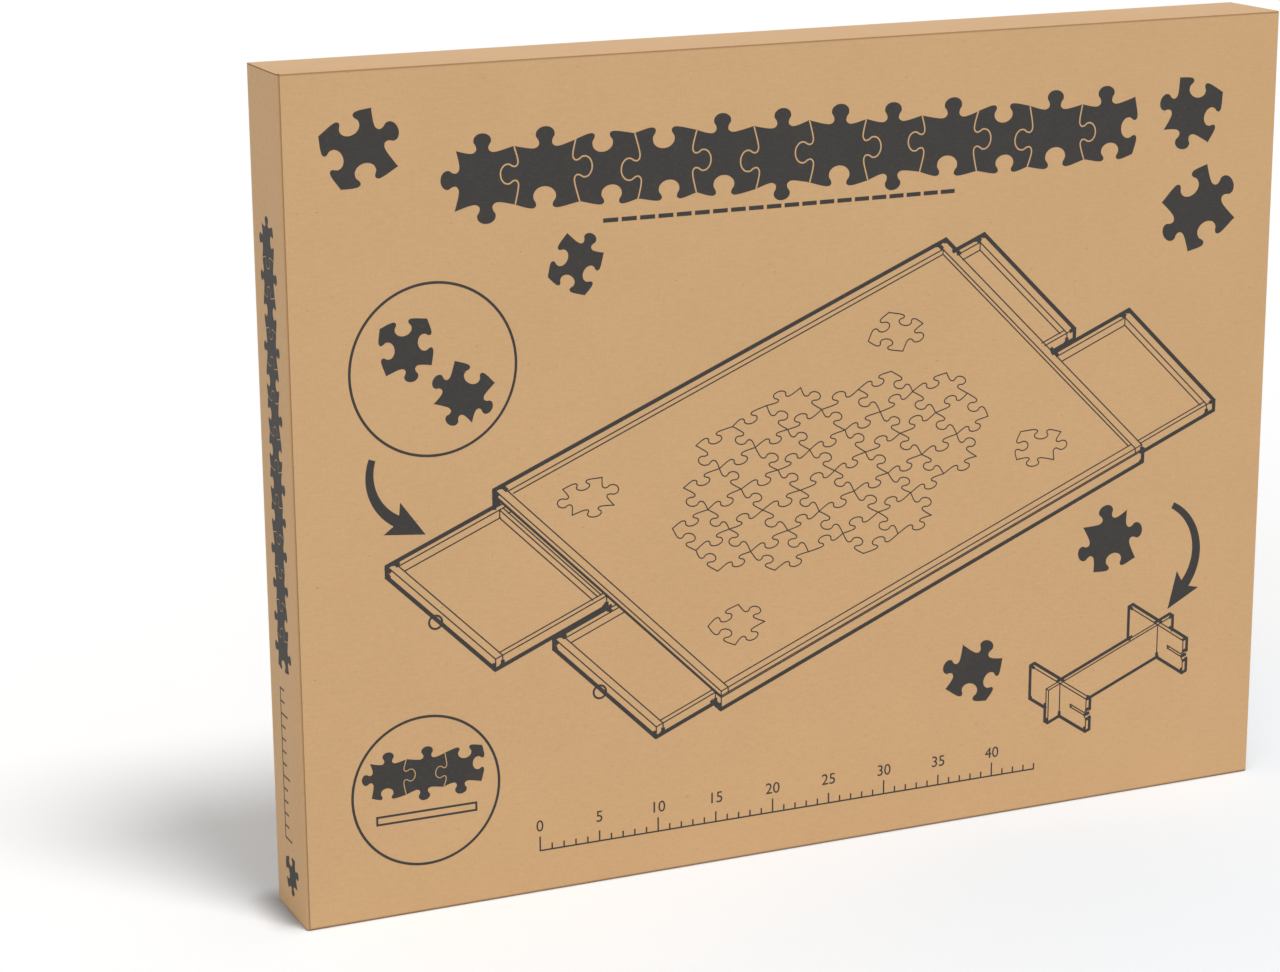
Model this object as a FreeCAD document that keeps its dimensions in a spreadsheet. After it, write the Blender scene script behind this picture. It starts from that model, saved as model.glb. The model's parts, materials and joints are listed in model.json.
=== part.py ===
# A jigsaw puzzle board in its retail carton, standing on a long edge as it is sold.
# Millimetres. X runs along the carton, Y from its printed front (low) to its back, Z up.
# The origin is the middle of the face it stands on.
import os
import re

import FreeCAD
import Part
import Sketcher
from FreeCAD import Placement, Rotation, Vector

doc = FreeCAD.newDocument("PuzzleBoardCarton")
sheet = doc.addObject("Spreadsheet::Sheet", "Sizes")

SIZES = [
    # the carton: one wrapped sleeve of corrugated board, with room for foam round the board
    ("wall", 3.0),
    ("end_room", 20.3),
    ("edge_room", 23.85),
    ("face_room", 17.0),
    ("flap_margin", 2.0),
    ("dust_flap_reach", 60.0),
    ("glue_tab_wide", 35.0),
    ("glue_tab_gap", 5.0),
    # the end cap that plugs into its right end
    ("cap_reach", 70.0),
    ("cap_clear", 0.3),
    ("hand_hole_long", 90.0),
    ("hand_hole_wide", 28.0),
    # the foam corners that hold the board
    ("foam_long", 100.0),
    ("foam_tall", 110.0),
    ("foam_clear", 0.3),
    # the board
    ("board_long", 787.4),
    ("board_wide", 594.3),
    ("rim_wide", 12.5),
    ("rim_high", 9.0),
    ("rim_round", 2.0),
    ("work_thick", 3.0),
    ("apron_high", 19.0),
    ("apron_thick", 16.0),
    ("apron_round", 1.5),
    ("centre_thick", 24.0),
    ("stop_thick", 16.0),
    ("base_thick", 2.0),
    ("rebate_wide", 8.0),
    # the drawers
    ("side_clear", 0.8),
    ("height_clear", 0.4),
    ("stop_clear", 0.4),
    ("front_thick", 12.0),
    ("front_round", 1.0),
    ("side_thick", 8.0),
    ("divider_thick", 6.0),
    ("divider_place", 183.0),
    ("floor_thick", 2.0),
    # the knobs and their screws
    ("knob_wide", 19.0),
    ("knob_out", 17.0),
    ("knob_ball", 11.0),
    ("collar_wide", 14.0),
    ("collar_thick", 1.5),
    ("neck_wide", 9.0),
    ("screw_wide", 3.5),
    ("screw_clear", 0.2),
    ("screw_head_wide", 7.0),
    ("screw_head_high", 2.0),
    ("screw_in_knob", 9.0),
    # the box stand: two arms and the rail that joins them
    ("arm_long", 140.0),
    ("stand_wide", 52.0),
    ("stand_thick", 6.0),
    ("clip_deep", 40.0),
    ("clip_wide", 4.4),
    ("clip_mouth", 5.0),
    ("rail_room", 11.55),
    ("notch_inset", 22.0),
    ("notch_clear", 0.3),
]
for row, (alias, size) in enumerate(SIZES, 1):
    sheet.set(f"A{row}", alias)
    sheet.set(f"B{row}", str(size))
    sheet.setAlias(f"B{row}", alias)
doc.recompute()
ALIASES = re.compile(r"\b(" + "|".join(alias for alias, size in SIZES) + r")\b")


def bound(text):
    """The expression with each size named as its cell of the sheet."""
    return ALIASES.sub(r"Sizes.\1", text)


def value(text):
    """The number that an expression of sizes comes to."""
    return float(sheet.evalExpression(bound(text)))


def bind(thing, prop, text):
    """Tie a property to an expression of sizes."""
    thing.setExpression(prop, bound(text))


# The carton is as large as the board, the foam's room on each side, and its own layers:
# three at the left end, one everywhere else.
BOARD_HIGH = "(rim_high + work_thick + apron_high)"
CARTON_LONG = "(board_long + 2 * end_room + 4 * wall)"
CARTON_TALL = "(board_wide + 2 * edge_room + 2 * wall)"
CARTON_DEEP = f"({BOARD_HIGH} + 2 * face_room + 2 * wall)"

# Faces that several pieces share, as expressions of the sizes.
OUTER_FRONT = f"(-{CARTON_DEEP} / 2)"
OUTER_BACK = f"({CARTON_DEEP} / 2)"
INNER_FRONT = f"({OUTER_FRONT} + wall)"
INNER_BACK = f"({OUTER_BACK} - wall)"
INNER_TOP = f"({CARTON_TALL} - wall)"
INNER_FOOT = "(wall)"
LEFT_END = f"(-{CARTON_LONG} / 2)"
RIGHT_END = f"({CARTON_LONG} / 2)"
LEFT_SEAT = f"({LEFT_END} + 3 * wall)"
RIGHT_SEAT = f"({RIGHT_END} - wall)"
CAP_SIDE = f"({INNER_BACK} - cap_clear)"
CAP_TOP = f"({INNER_TOP} - cap_clear)"
CAP_FOOT = f"({INNER_FOOT} + cap_clear)"
MIDDLE_X = f"(({LEFT_SEAT} + {RIGHT_SEAT}) / 2)"
MIDDLE_Z = f"({CARTON_TALL} / 2)"
BOARD_LEFT = f"({MIDDLE_X} - board_long / 2)"
BOARD_RIGHT = f"({MIDDLE_X} + board_long / 2)"
BOARD_FOOT = f"({MIDDLE_Z} - board_wide / 2)"
BOARD_TOP = f"({MIDDLE_Z} + board_wide / 2)"
BOARD_FRONT = f"(-{BOARD_HIGH} / 2)"
BOARD_BACK = f"({BOARD_HIGH} / 2)"
WORK_FRONT = f"({BOARD_FRONT} + rim_high)"
WORK_BACK = f"({WORK_FRONT} + work_thick)"
BASE_FRONT = f"({BOARD_BACK} - base_thick)"

# Which way a piece lies from a place, and the other way.
FLIP = {"+": "-", "-": "+"}


def step(place, way, distance):
    """The place that lies a distance up or down from another, as an expression."""
    return f"({place} {way} {distance})"


subparts = []


def name_subpart(thing, label):
    """Give a finished object its own name and list it for export."""
    thing.Label = label
    subparts.append(thing)
    return thing


def block(spans, label=None):
    """A rectangular piece. Each span is a pair of places along X, Y and Z, in either order."""
    box = doc.addObject("Part::Box", "Block")
    for side, axis, (one, other) in zip(("Length", "Width", "Height"), "xyz", spans):
        bind(box, side, f"abs({one} - {other})")
        bind(box, f".Placement.Base.{axis}", f"min({one}; {other})")
    return name_subpart(box, label) if label else box


def along_x(way):
    """The turn that lays a thing's own Z axis along X, one way or the other."""
    return Rotation(Vector(0, 1, 0), 90 if way == "+" else -90)


def cylinder(wide, long, place, way):
    """A round bar along X, from a place towards one way."""
    bar = doc.addObject("Part::Cylinder", "Bar")
    bar.Placement = Placement(Vector(), along_x(way))
    bind(bar, "Radius", f"({wide}) / 2")
    bind(bar, "Height", long)
    for axis, text in zip("xyz", place):
        bind(bar, f".Placement.Base.{axis}", text)
    return bar


def cut(base, tool, label):
    """One object with another taken away from it."""
    result = doc.addObject("Part::Cut", "Cut")
    result.Base = base
    result.Tool = tool
    return name_subpart(result, label)


def join(pieces, label=None):
    """Several overlapping or touching objects made one."""
    result = doc.addObject("Part::MultiFuse", "Join")
    result.Shapes = pieces
    return name_subpart(result, label) if label else result


def group(pieces, label):
    """Several separate solids that share one name."""
    result = doc.addObject("Part::Compound", "Group")
    result.Links = pieces
    return name_subpart(result, label)


def new_sketch(body, plane, place):
    """An empty sketch on one of the body's origin planes, moved to a place along the third axis."""
    sketch = body.newObject("Sketcher::SketchObject", "Outline")
    origin_planes = {feature.Role: feature for feature in body.Origin.OriginFeatures}
    sketch.AttachmentSupport = [(origin_planes[f"{plane}_Plane"], "")]
    sketch.MapMode = "FlatFace"
    # The XZ plane faces down the Y axis.
    bind(sketch, ".AttachmentOffset.Base.z", f"-({place})" if plane == "XZ" else place)
    return sketch


def pin_point(sketch, element, point, place):
    """Hold a point of a sketch at a pair of expressions."""
    for kind, text in zip(("DistanceX", "DistanceY"), place):
        number = sketch.addConstraint(Sketcher.Constraint(kind, -1, 1, element, point, value(text)))
        bind(sketch, f"Constraints[{number}]", text)


def polygon(body, plane, place, points):
    """A closed sketch through points given as pairs of expressions."""
    sketch = new_sketch(body, plane, place)
    corners = [Vector(value(a), value(b), 0) for a, b in points]
    count = len(points)
    for i in range(count):
        sketch.addGeometry(Part.LineSegment(corners[i], corners[(i + 1) % count]), False)
    for i in range(count):
        sketch.addConstraint(Sketcher.Constraint("Coincident", i, 2, (i + 1) % count, 1))
    for i, corner in enumerate(points):
        pin_point(sketch, i, 1, corner)
    return sketch


def circle(body, plane, place, centre, wide):
    """A sketch of one circle round a pair of expressions."""
    sketch = new_sketch(body, plane, place)
    middle = Vector(value(centre[0]), value(centre[1]), 0)
    sketch.addGeometry(Part.Circle(middle, Vector(0, 0, 1), value(wide) / 2), False)
    pin_point(sketch, 0, 3, centre)
    number = sketch.addConstraint(Sketcher.Constraint("Diameter", 0, value(wide)))
    bind(sketch, f"Constraints[{number}]", wide)
    return sketch


def new_body(label):
    """An empty body that will be exported under its label."""
    return name_subpart(doc.addObject("PartDesign::Body", "Body"), label)


def prism(label, plane, start, end, points):
    """A body with one outline, carried from one place to a higher one along the third axis."""
    body = new_body(label)
    pad = body.newObject("PartDesign::Pad", "Length")
    pad.Profile = polygon(body, plane, start, points)
    bind(pad, "Length", f"{end} - {start}")
    pad.Reversed = plane == "XZ"
    doc.recompute()
    return body, pad


def frustum(label, plane, outside, inside):
    """A panel with mitred edges: a ruled loft between its outer and its inner face."""
    body = new_body(label)
    loft = body.newObject("PartDesign::AdditiveLoft", "Panel")
    loft.Profile = polygon(body, plane, *outside)
    loft.Sections = [polygon(body, plane, *inside)]
    loft.Ruled = True
    return body


def rectangle(low_a, high_a, low_b, high_b):
    """The four corners of a rectangle, as pairs of expressions."""
    return [(low_a, low_b), (high_a, low_b), (high_a, high_b), (low_a, high_b)]


def round_edges(body, feature, radius, chosen):
    """Round those edges of a feature whose middle point passes a test."""
    names = []
    for number, edge in enumerate(feature.Shape.Edges, 1):
        if chosen(edge.valueAt((edge.FirstParameter + edge.LastParameter) / 2)):
            names.append(f"Edge{number}")
    fillet = body.newObject("PartDesign::Fillet", "Round")
    fillet.Base = (feature, names)
    bind(fillet, "Radius", radius)
    return fillet


def near(number, text):
    """Whether a coordinate lies at the place that an expression names, to a hundredth."""
    return abs(number - value(text)) < 0.01


# The sleeve: four long panels and the closed left end, each mitred at the folds.
OUTSIDE = {"X": (LEFT_END, RIGHT_END), "Y": (OUTER_FRONT, OUTER_BACK), "Z": ("0", CARTON_TALL)}
INSIDE = {
    "X": (step(LEFT_END, "+", "wall"), RIGHT_END),
    "Y": (INNER_FRONT, INNER_BACK),
    "Z": (INNER_FOOT, INNER_TOP),
}
for label, plane, outer, inner in (
    ("front_panel", "XZ", OUTER_FRONT, INNER_FRONT),
    ("back_panel", "XZ", OUTER_BACK, INNER_BACK),
    ("top_panel", "XY", CARTON_TALL, INNER_TOP),
    ("bottom_panel", "XY", "0", INNER_FOOT),
    ("left_outer_flap", "YZ", LEFT_END, step(LEFT_END, "+", "wall")),
):
    across, along = plane
    frustum(
        label, plane,
        (outer, rectangle(*OUTSIDE[across], *OUTSIDE[along])),
        (inner, rectangle(*INSIDE[across], *INSIDE[along])),
    )

# Behind the left outer flap lie the inner flap, and then the two short dust flaps.
block(
    (
        (step(LEFT_END, "+", "wall"), step(LEFT_END, "+", "2 * wall")),
        (step(INNER_FRONT, "+", "flap_margin"), INNER_BACK),
        (step(INNER_FOOT, "+", "flap_margin"), step(INNER_TOP, "-", "flap_margin")),
    ),
    "left_inner_flap",
)
DUST_LAYER = (step(LEFT_END, "+", "2 * wall"), LEFT_SEAT)
for name, edge, way in (("top", INNER_TOP, "-"), ("bottom", INNER_FOOT, "+")):
    block(
        (DUST_LAYER, (INNER_FRONT, INNER_BACK), (edge, step(edge, way, "dust_flap_reach"))),
        f"left_dust_flap_{name}",
    )

# The maker's joint: a tab on the back panel, folded in and glued to the bottom panel.
block(
    (
        (step(LEFT_SEAT, "+", "foam_long + glue_tab_gap"), step(RIGHT_SEAT, "-", "cap_reach - glue_tab_gap")),
        (step(INNER_BACK, "-", "glue_tab_wide"), INNER_BACK),
        (INNER_FOOT, step(INNER_FOOT, "+", "wall")),
    ),
    "glue_tab",
)


def foam_corner(label, end, edge, end_way, edge_way, side):
    """A foam block with a pocket for one corner of the board.

    The end and the edge are where the block seats, and the ways point from there into the
    carton. The pocket runs past the block on its two open sides.
    """
    board_end = BOARD_LEFT if end_way == "+" else BOARD_RIGHT
    board_edge = BOARD_FOOT if edge_way == "+" else BOARD_TOP
    outer = block((
        (end, step(end, end_way, "foam_long")),
        (f"(-{side})", side),
        (edge, step(edge, edge_way, "foam_tall")),
    ))
    pocket = block((
        (step(board_end, FLIP[end_way], "foam_clear"), step(end, end_way, "2 * foam_long")),
        (step(BOARD_FRONT, "-", "foam_clear"), step(BOARD_BACK, "+", "foam_clear")),
        (step(board_edge, FLIP[edge_way], "foam_clear"), step(edge, edge_way, "2 * foam_tall")),
    ))
    cut(outer, pocket, label)


for name, edge, way in (("top", INNER_TOP, "-"), ("bottom", INNER_FOOT, "+")):
    foam_corner(f"left_foam_{name}", LEFT_SEAT, edge, "+", way, INNER_BACK)

# The end cap: a panel with a hand hole, and four flaps folded into the sleeve.
hole_half = "((hand_hole_long - hand_hole_wide) / 2)"
hole_straight = block((
    (RIGHT_SEAT, RIGHT_END),
    ("(-hand_hole_wide / 2)", "(hand_hole_wide / 2)"),
    (step(MIDDLE_Z, "-", hole_half), step(MIDDLE_Z, "+", hole_half)),
))
hole_ends = [
    cylinder("hand_hole_wide", "wall", (RIGHT_SEAT, "0", step(MIDDLE_Z, way, hole_half)), "+")
    for way in "-+"
]
cap_plate = block(((RIGHT_SEAT, RIGHT_END), (f"(-{CAP_SIDE})", CAP_SIDE), (CAP_FOOT, CAP_TOP)))
cut(cap_plate, join([hole_straight, *hole_ends]), "cap_panel")

CAP_DEEP = (step(RIGHT_SEAT, "-", "cap_reach"), RIGHT_SEAT)
CAP_INSIDE = step(CAP_SIDE, "-", "wall")
for name, side, way in (("front", f"(-{CAP_SIDE})", "+"), ("back", CAP_SIDE, "-")):
    block((CAP_DEEP, (side, step(side, way, "wall")), (CAP_FOOT, CAP_TOP)), f"cap_flap_{name}")
for name, edge, way in (("top", CAP_TOP, "-"), ("bottom", CAP_FOOT, "+")):
    cap_seat = step(edge, way, "wall")
    block((CAP_DEEP, (f"(-{CAP_INSIDE})", CAP_INSIDE), (edge, cap_seat)), f"cap_flap_{name}")
    foam_corner(f"right_foam_{name}", RIGHT_SEAT, cap_seat, "-", way, CAP_INSIDE)

# The board: a thin work panel between the rim above it and the frame below it.
WHOLE_LONG = (BOARD_LEFT, BOARD_RIGHT)
WHOLE_WIDE = (BOARD_FOOT, BOARD_TOP)
block((WHOLE_LONG, (WORK_FRONT, WORK_BACK), WHOLE_WIDE), "work_panel")


def rim_strip(label, plane, along, across, corner):
    """A rim strip with both of its front edges rounded.

    Along and across are its spans of length and width, and corner picks the width's axis.
    """
    high = (BOARD_FRONT, WORK_FRONT)
    points = rectangle(*high, *across) if plane == "YZ" else rectangle(*across, *high)
    body, pad = prism(label, plane, *along, points)
    round_edges(
        body, pad, "rim_round",
        lambda p: near(p.y, BOARD_FRONT) and any(near(corner(p), place) for place in across),
    )


INSIDE_RIM_LONG = (step(BOARD_LEFT, "+", "rim_wide"), step(BOARD_RIGHT, "-", "rim_wide"))
rim_strip("rim_left", "XY", WHOLE_WIDE, (BOARD_LEFT, INSIDE_RIM_LONG[0]), lambda p: p.x)
rim_strip("rim_right", "XY", WHOLE_WIDE, (INSIDE_RIM_LONG[1], BOARD_RIGHT), lambda p: p.x)
rim_strip("rim_bottom", "YZ", INSIDE_RIM_LONG, (BOARD_FOOT, step(BOARD_FOOT, "+", "rim_wide")), lambda p: p.z)
rim_strip("rim_top", "YZ", INSIDE_RIM_LONG, (step(BOARD_TOP, "-", "rim_wide"), BOARD_TOP), lambda p: p.z)


def apron(label, outside, inward):
    """A long side rail with a rebate along its back inner edge, where the base panel lies."""
    inside = step(outside, inward, "apron_thick")
    rebate = step(inside, FLIP[inward], "rebate_wide")
    points = [
        (WORK_BACK, outside), (BOARD_BACK, outside), (BOARD_BACK, rebate),
        (BASE_FRONT, rebate), (BASE_FRONT, inside), (WORK_BACK, inside),
    ]
    body, pad = prism(label, "YZ", BOARD_LEFT, BOARD_RIGHT, points)
    round_edges(body, pad, "apron_round", lambda p: near(p.y, BOARD_BACK) and near(p.z, outside))


apron("apron_top", BOARD_TOP, "-")
apron("apron_bottom", BOARD_FOOT, "+")

RAIL_HIGH = (WORK_BACK, BASE_FRONT)
CENTRE_WIDE = (step(MIDDLE_Z, "-", "centre_thick / 2"), step(MIDDLE_Z, "+", "centre_thick / 2"))
block((WHOLE_LONG, RAIL_HIGH, CENTRE_WIDE), "centre_rail")
STOP_LONG = (step(MIDDLE_X, "-", "stop_thick / 2"), step(MIDDLE_X, "+", "stop_thick / 2"))
UPPER_BAY = (CENTRE_WIDE[1], step(BOARD_TOP, "-", "apron_thick"))
LOWER_BAY = (step(BOARD_FOOT, "+", "apron_thick"), CENTRE_WIDE[0])
block((STOP_LONG, RAIL_HIGH, UPPER_BAY), "upper_stop_rail")
block((STOP_LONG, RAIL_HIGH, LOWER_BAY), "lower_stop_rail")
BASE_WIDE = (
    step(BOARD_FOOT, "+", "(apron_thick - rebate_wide)"),
    step(BOARD_TOP, "-", "(apron_thick - rebate_wide)"),
)
block((WHOLE_LONG, (BASE_FRONT, BOARD_BACK), BASE_WIDE), "base_panel")

# The drawers: two open through each short side, one above and one below the centre rail.
DRAWER_HIGH = (step(WORK_BACK, "+", "height_clear"), step(BASE_FRONT, "-", "height_clear"))
DRAWER_AXIS_Y = f"(({DRAWER_HIGH[0]} + {DRAWER_HIGH[1]}) / 2)"
FLOOR_FACE = step(DRAWER_HIGH[1], "-", "floor_thick")
UPPER_DRAWER = (step(UPPER_BAY[0], "+", "side_clear"), step(UPPER_BAY[1], "-", "side_clear"))
LOWER_DRAWER = (step(LOWER_BAY[0], "+", "side_clear"), step(LOWER_BAY[1], "-", "side_clear"))


def knob(name, face, centre_z, out):
    """A turned knob: a collar, a neck and a flattened ball, bored for its screw."""
    seat = (face, DRAWER_AXIS_Y, centre_z)
    ball_out = "(knob_out - knob_ball / 2)"
    collar = cylinder("collar_wide", "collar_thick", seat, out)
    neck = cylinder("neck_wide", ball_out, seat, out)
    ball = doc.addObject("Part::Ellipsoid", "Ball")
    ball.Placement = Placement(Vector(), along_x(out))
    bind(ball, "Radius1", "knob_ball / 2")
    bind(ball, "Radius2", "knob_wide / 2")
    bind(ball, "Radius3", "knob_wide / 2")
    bind(ball, ".Placement.Base.x", step(face, out, ball_out))
    bind(ball, ".Placement.Base.y", DRAWER_AXIS_Y)
    bind(ball, ".Placement.Base.z", centre_z)
    bore = cylinder("screw_wide", "screw_in_knob", seat, out)
    cut(join([collar, neck, ball]), bore, f"{name}_knob")


def knob_screw(name, inside, centre_z, out):
    """The machine screw that holds a knob from inside its drawer."""
    head_end = step(inside, FLIP[out], "screw_head_high")
    shank = cylinder("screw_wide", "front_thick + screw_in_knob", (inside, DRAWER_AXIS_Y, centre_z), out)
    head = cylinder("screw_head_wide", "screw_head_high", (head_end, DRAWER_AXIS_Y, centre_z), out)
    join([shank, head], f"{name}_knob_screw")


def drawer_front(name, long, wide, face, out, centre_z):
    """The front of a drawer, with eased edges and a hole for the knob's screw."""
    body, pad = prism(f"{name}_front", "YZ", *long, rectangle(*DRAWER_HIGH, *wide))
    round_edges(body, pad, "front_round", lambda p: near(p.x, face))
    hole = body.newObject("PartDesign::Pocket", "ScrewHole")
    hole.Profile = circle(body, "YZ", face, (DRAWER_AXIS_Y, centre_z), "screw_wide + 2 * screw_clear")
    bind(hole, "Length", "front_thick")
    hole.Reversed = out == "-"


def drawer(name, face, out, wide):
    """One drawer: front, two sides, back, divider and floor, with its knob and screw.

    The face is where its front ends, out is the way it opens, and wide is its span along Z.
    """
    back = FLIP[out]
    low, high = wide
    centre_z = f"(({low} + {high}) / 2)"
    behind_front = step(face, back, "front_thick")
    tail = step(MIDDLE_X, out, "(stop_thick / 2 + stop_clear)")
    before_tail = step(tail, out, "side_thick")
    inside_wide = (step(low, "+", "side_thick"), step(high, "-", "side_thick"))
    divider_at = step(face, back, "divider_place")
    divider_long = (step(divider_at, "-", "divider_thick / 2"), step(divider_at, "+", "divider_thick / 2"))

    front_long = (behind_front, face) if out == "+" else (face, behind_front)
    drawer_front(name, front_long, wide, face, out, centre_z)
    sides = [
        block(((behind_front, tail), DRAWER_HIGH, (low, inside_wide[0]))),
        block(((behind_front, tail), DRAWER_HIGH, (inside_wide[1], high))),
    ]
    group(sides, f"{name}_sides")
    block(((tail, before_tail), DRAWER_HIGH, inside_wide), f"{name}_back")
    block(((behind_front, before_tail), (FLOOR_FACE, DRAWER_HIGH[1]), inside_wide), f"{name}_floor")
    block((divider_long, (DRAWER_HIGH[0], FLOOR_FACE), inside_wide), f"{name}_divider")
    knob(name, face, centre_z, out)
    knob_screw(name, behind_front, centre_z, out)


for side, face, out in (("right", BOARD_RIGHT, "+"), ("left", BOARD_LEFT, "-")):
    drawer(f"{side}_upper_drawer", face, out, UPPER_DRAWER)
    drawer(f"{side}_lower_drawer", face, out, LOWER_DRAWER)

# The box stand is packed flat in the lower right drawer, lying on its lower side.
STAND_LAYER = (step(FLOOR_FACE, "-", "stand_thick"), FLOOR_FACE)
SHELF = step(LOWER_DRAWER[0], "+", "side_thick")
HALF = "(stand_wide / 2)"
HALF_NOTCH = "((stand_thick + notch_clear) / 2)"


def stand_arm(label, foot):
    """An arm with a clip slot in its end and a half-deep notch for the rail at its middle."""
    tip = step(BOARD_RIGHT, "-", "(front_thick + notch_clear)")
    heel = step(tip, "-", "arm_long")
    middle = step(tip, "-", "arm_long / 2")
    notch = (step(middle, "-", HALF_NOTCH), step(middle, "+", HALF_NOTCH))
    centre = step(foot, "+", HALF)
    head = step(foot, "+", "stand_wide")
    clip = (step(centre, "-", "clip_wide / 2"), step(centre, "+", "clip_wide / 2"))
    mouth = step(tip, "-", "clip_mouth")
    clip_end = step(tip, "-", "clip_deep")
    points = [
        (heel, foot), (notch[0], foot), (notch[0], centre), (notch[1], centre), (notch[1], foot),
        (tip, foot), (tip, step(clip[0], "-", "clip_mouth")), (mouth, clip[0]), (clip_end, clip[0]),
        (clip_end, clip[1]), (mouth, clip[1]), (tip, step(clip[1], "+", "clip_mouth")),
        (tip, head), (heel, head),
    ]
    prism(label, "XZ", *STAND_LAYER, points)


def stand_rail(label):
    """The rail, with a half-deep notch for each arm near its ends."""
    right = step(BOARD_RIGHT, "-", "(divider_place + divider_thick / 2 + notch_clear)")
    left = step(right, "-", "stand_wide")
    notch_floor = step(right, "-", HALF)
    head = step(UPPER_END, "-", "rail_room")
    points = [(left, SHELF), (right, SHELF)]
    for centre in (step(SHELF, "+", "notch_inset"), step(head, "-", "notch_inset")):
        low, high = step(centre, "-", HALF_NOTCH), step(centre, "+", HALF_NOTCH)
        points += [(right, low), (notch_floor, low), (notch_floor, high), (right, high)]
    points += [(right, head), (left, head)]
    prism(label, "XZ", *STAND_LAYER, points)


UPPER_END = step(LOWER_DRAWER[1], "-", "side_thick")
stand_arm("stand_arm_lower", SHELF)
stand_arm("stand_arm_upper", step(SHELF, "+", "stand_wide"))
stand_rail("stand_rail")

doc.recompute()
for thing in doc.Objects:
    if "Invalid" in thing.State or "Error" in thing.State:
        raise ValueError(f"{thing.Label} failed: {thing.State}")
for thing in subparts:
    if thing.Shape.isNull() or not thing.Shape.isValid() or thing.Shape.Volume <= 0:
        raise ValueError(f"{thing.Label} has no valid shape")

os.makedirs("parts", exist_ok=True)
for thing in subparts:
    thing.Shape.exportStep(f"parts/{thing.Label}.step")
print(len(subparts), "sub-parts written")
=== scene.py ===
# %% [markdown]
# # A puzzle board in its carton
#
# The object is a flat kraft carton that stands on a long edge on a white floor. Inside, four foam
# corners hold a wooden board for jigsaw puzzles, with four drawers and the parts of a small stand.
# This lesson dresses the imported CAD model: it keeps every size and joint, and gives each piece the
# shape, finish and print of the real one. All lengths are metres. X runs along the carton, Y from
# its printed front to its back, and Z up.

# %% The frame
import json
import math

import bmesh
import bpy
import numpy as np
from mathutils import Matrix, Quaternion, Vector

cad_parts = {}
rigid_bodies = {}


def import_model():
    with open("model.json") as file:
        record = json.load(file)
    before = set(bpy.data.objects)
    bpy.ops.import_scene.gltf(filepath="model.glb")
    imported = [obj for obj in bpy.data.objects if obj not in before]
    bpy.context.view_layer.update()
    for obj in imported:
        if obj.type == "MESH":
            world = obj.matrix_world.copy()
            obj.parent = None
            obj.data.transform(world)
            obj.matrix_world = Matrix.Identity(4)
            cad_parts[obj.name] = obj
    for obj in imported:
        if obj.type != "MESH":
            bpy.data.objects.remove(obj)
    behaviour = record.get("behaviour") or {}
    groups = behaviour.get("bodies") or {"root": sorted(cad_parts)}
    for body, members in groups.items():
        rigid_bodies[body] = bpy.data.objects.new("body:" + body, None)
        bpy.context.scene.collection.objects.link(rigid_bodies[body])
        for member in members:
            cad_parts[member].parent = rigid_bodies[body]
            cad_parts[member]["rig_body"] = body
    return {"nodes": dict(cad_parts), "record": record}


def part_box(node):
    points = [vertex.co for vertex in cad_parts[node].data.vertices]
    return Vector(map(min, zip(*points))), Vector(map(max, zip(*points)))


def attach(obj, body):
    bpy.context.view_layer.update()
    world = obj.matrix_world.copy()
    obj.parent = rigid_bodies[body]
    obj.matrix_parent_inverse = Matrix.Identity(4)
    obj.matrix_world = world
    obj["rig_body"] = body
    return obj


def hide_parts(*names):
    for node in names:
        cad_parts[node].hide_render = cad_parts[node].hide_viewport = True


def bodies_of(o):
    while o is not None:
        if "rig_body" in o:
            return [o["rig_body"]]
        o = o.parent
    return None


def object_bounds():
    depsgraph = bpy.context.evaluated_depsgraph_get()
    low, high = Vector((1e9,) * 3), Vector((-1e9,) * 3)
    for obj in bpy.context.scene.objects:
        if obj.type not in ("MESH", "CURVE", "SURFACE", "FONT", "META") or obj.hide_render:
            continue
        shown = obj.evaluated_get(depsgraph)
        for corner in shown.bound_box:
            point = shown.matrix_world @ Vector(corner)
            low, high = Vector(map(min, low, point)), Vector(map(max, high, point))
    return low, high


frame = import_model()
cad_box = [list(corner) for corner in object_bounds()]
(LEFT, FRONT, FOOT), (RIGHT, BACK, TOP) = cad_box
print("carton", [round(high - low, 4) for low, high in zip(*cad_box)])

# %% [markdown]
# ## Camera
#
# A long lens a good two metres away keeps the upright edges of a flat box nearly parallel. The
# camera stands left of the front and a little above the top, so it sees three faces. It is aimed
# at a point of the printed face and then rolled by less than half a degree.

# %% The camera
MM = 0.001
scene = bpy.context.scene
camera = bpy.data.objects.new("camera", bpy.data.cameras.new("camera"))
scene.collection.objects.link(camera)
scene.camera = camera
camera.data.sensor_width = 36
camera.data.lens = 89.97
camera.location = (-1.08365, -2.19693, 0.94807)
looks_at = Vector((-0.14342, -0.0355, 0.3168))
aim = (looks_at - camera.location).to_track_quat("-Z", "Y")
camera.rotation_mode = "QUATERNION"
camera.rotation_quaternion = aim @ Quaternion((0, 0, 1), math.radians(-0.435))
print("camera to carton", round((looks_at - camera.location).length, 3))

# %% [markdown]
# ## Light
#
# The real box stands in an even white studio. A dim white sky lights every side, a wide sun from
# high in front throws a soft shadow behind and to the left, and a low second sun from the left
# of the camera fills the front and the end. Suns are used and not area lamps, because their
# light doesn't fall off across a large floor.

# %% Lamps and sky
scene.view_settings.view_transform = "Standard"


def sun(name, shines, strength, spread):
    """A sun that shines along a direction. A wider spread, in degrees, gives a softer shadow."""
    lamp = bpy.data.lights.new(name, "SUN")
    lamp.energy = strength
    lamp.angle = math.radians(spread)
    holder = bpy.data.objects.new(name, lamp)
    holder.rotation_mode = "QUATERNION"
    holder.rotation_quaternion = Vector(shines).to_track_quat("-Z", "Y")
    scene.collection.objects.link(holder)


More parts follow.
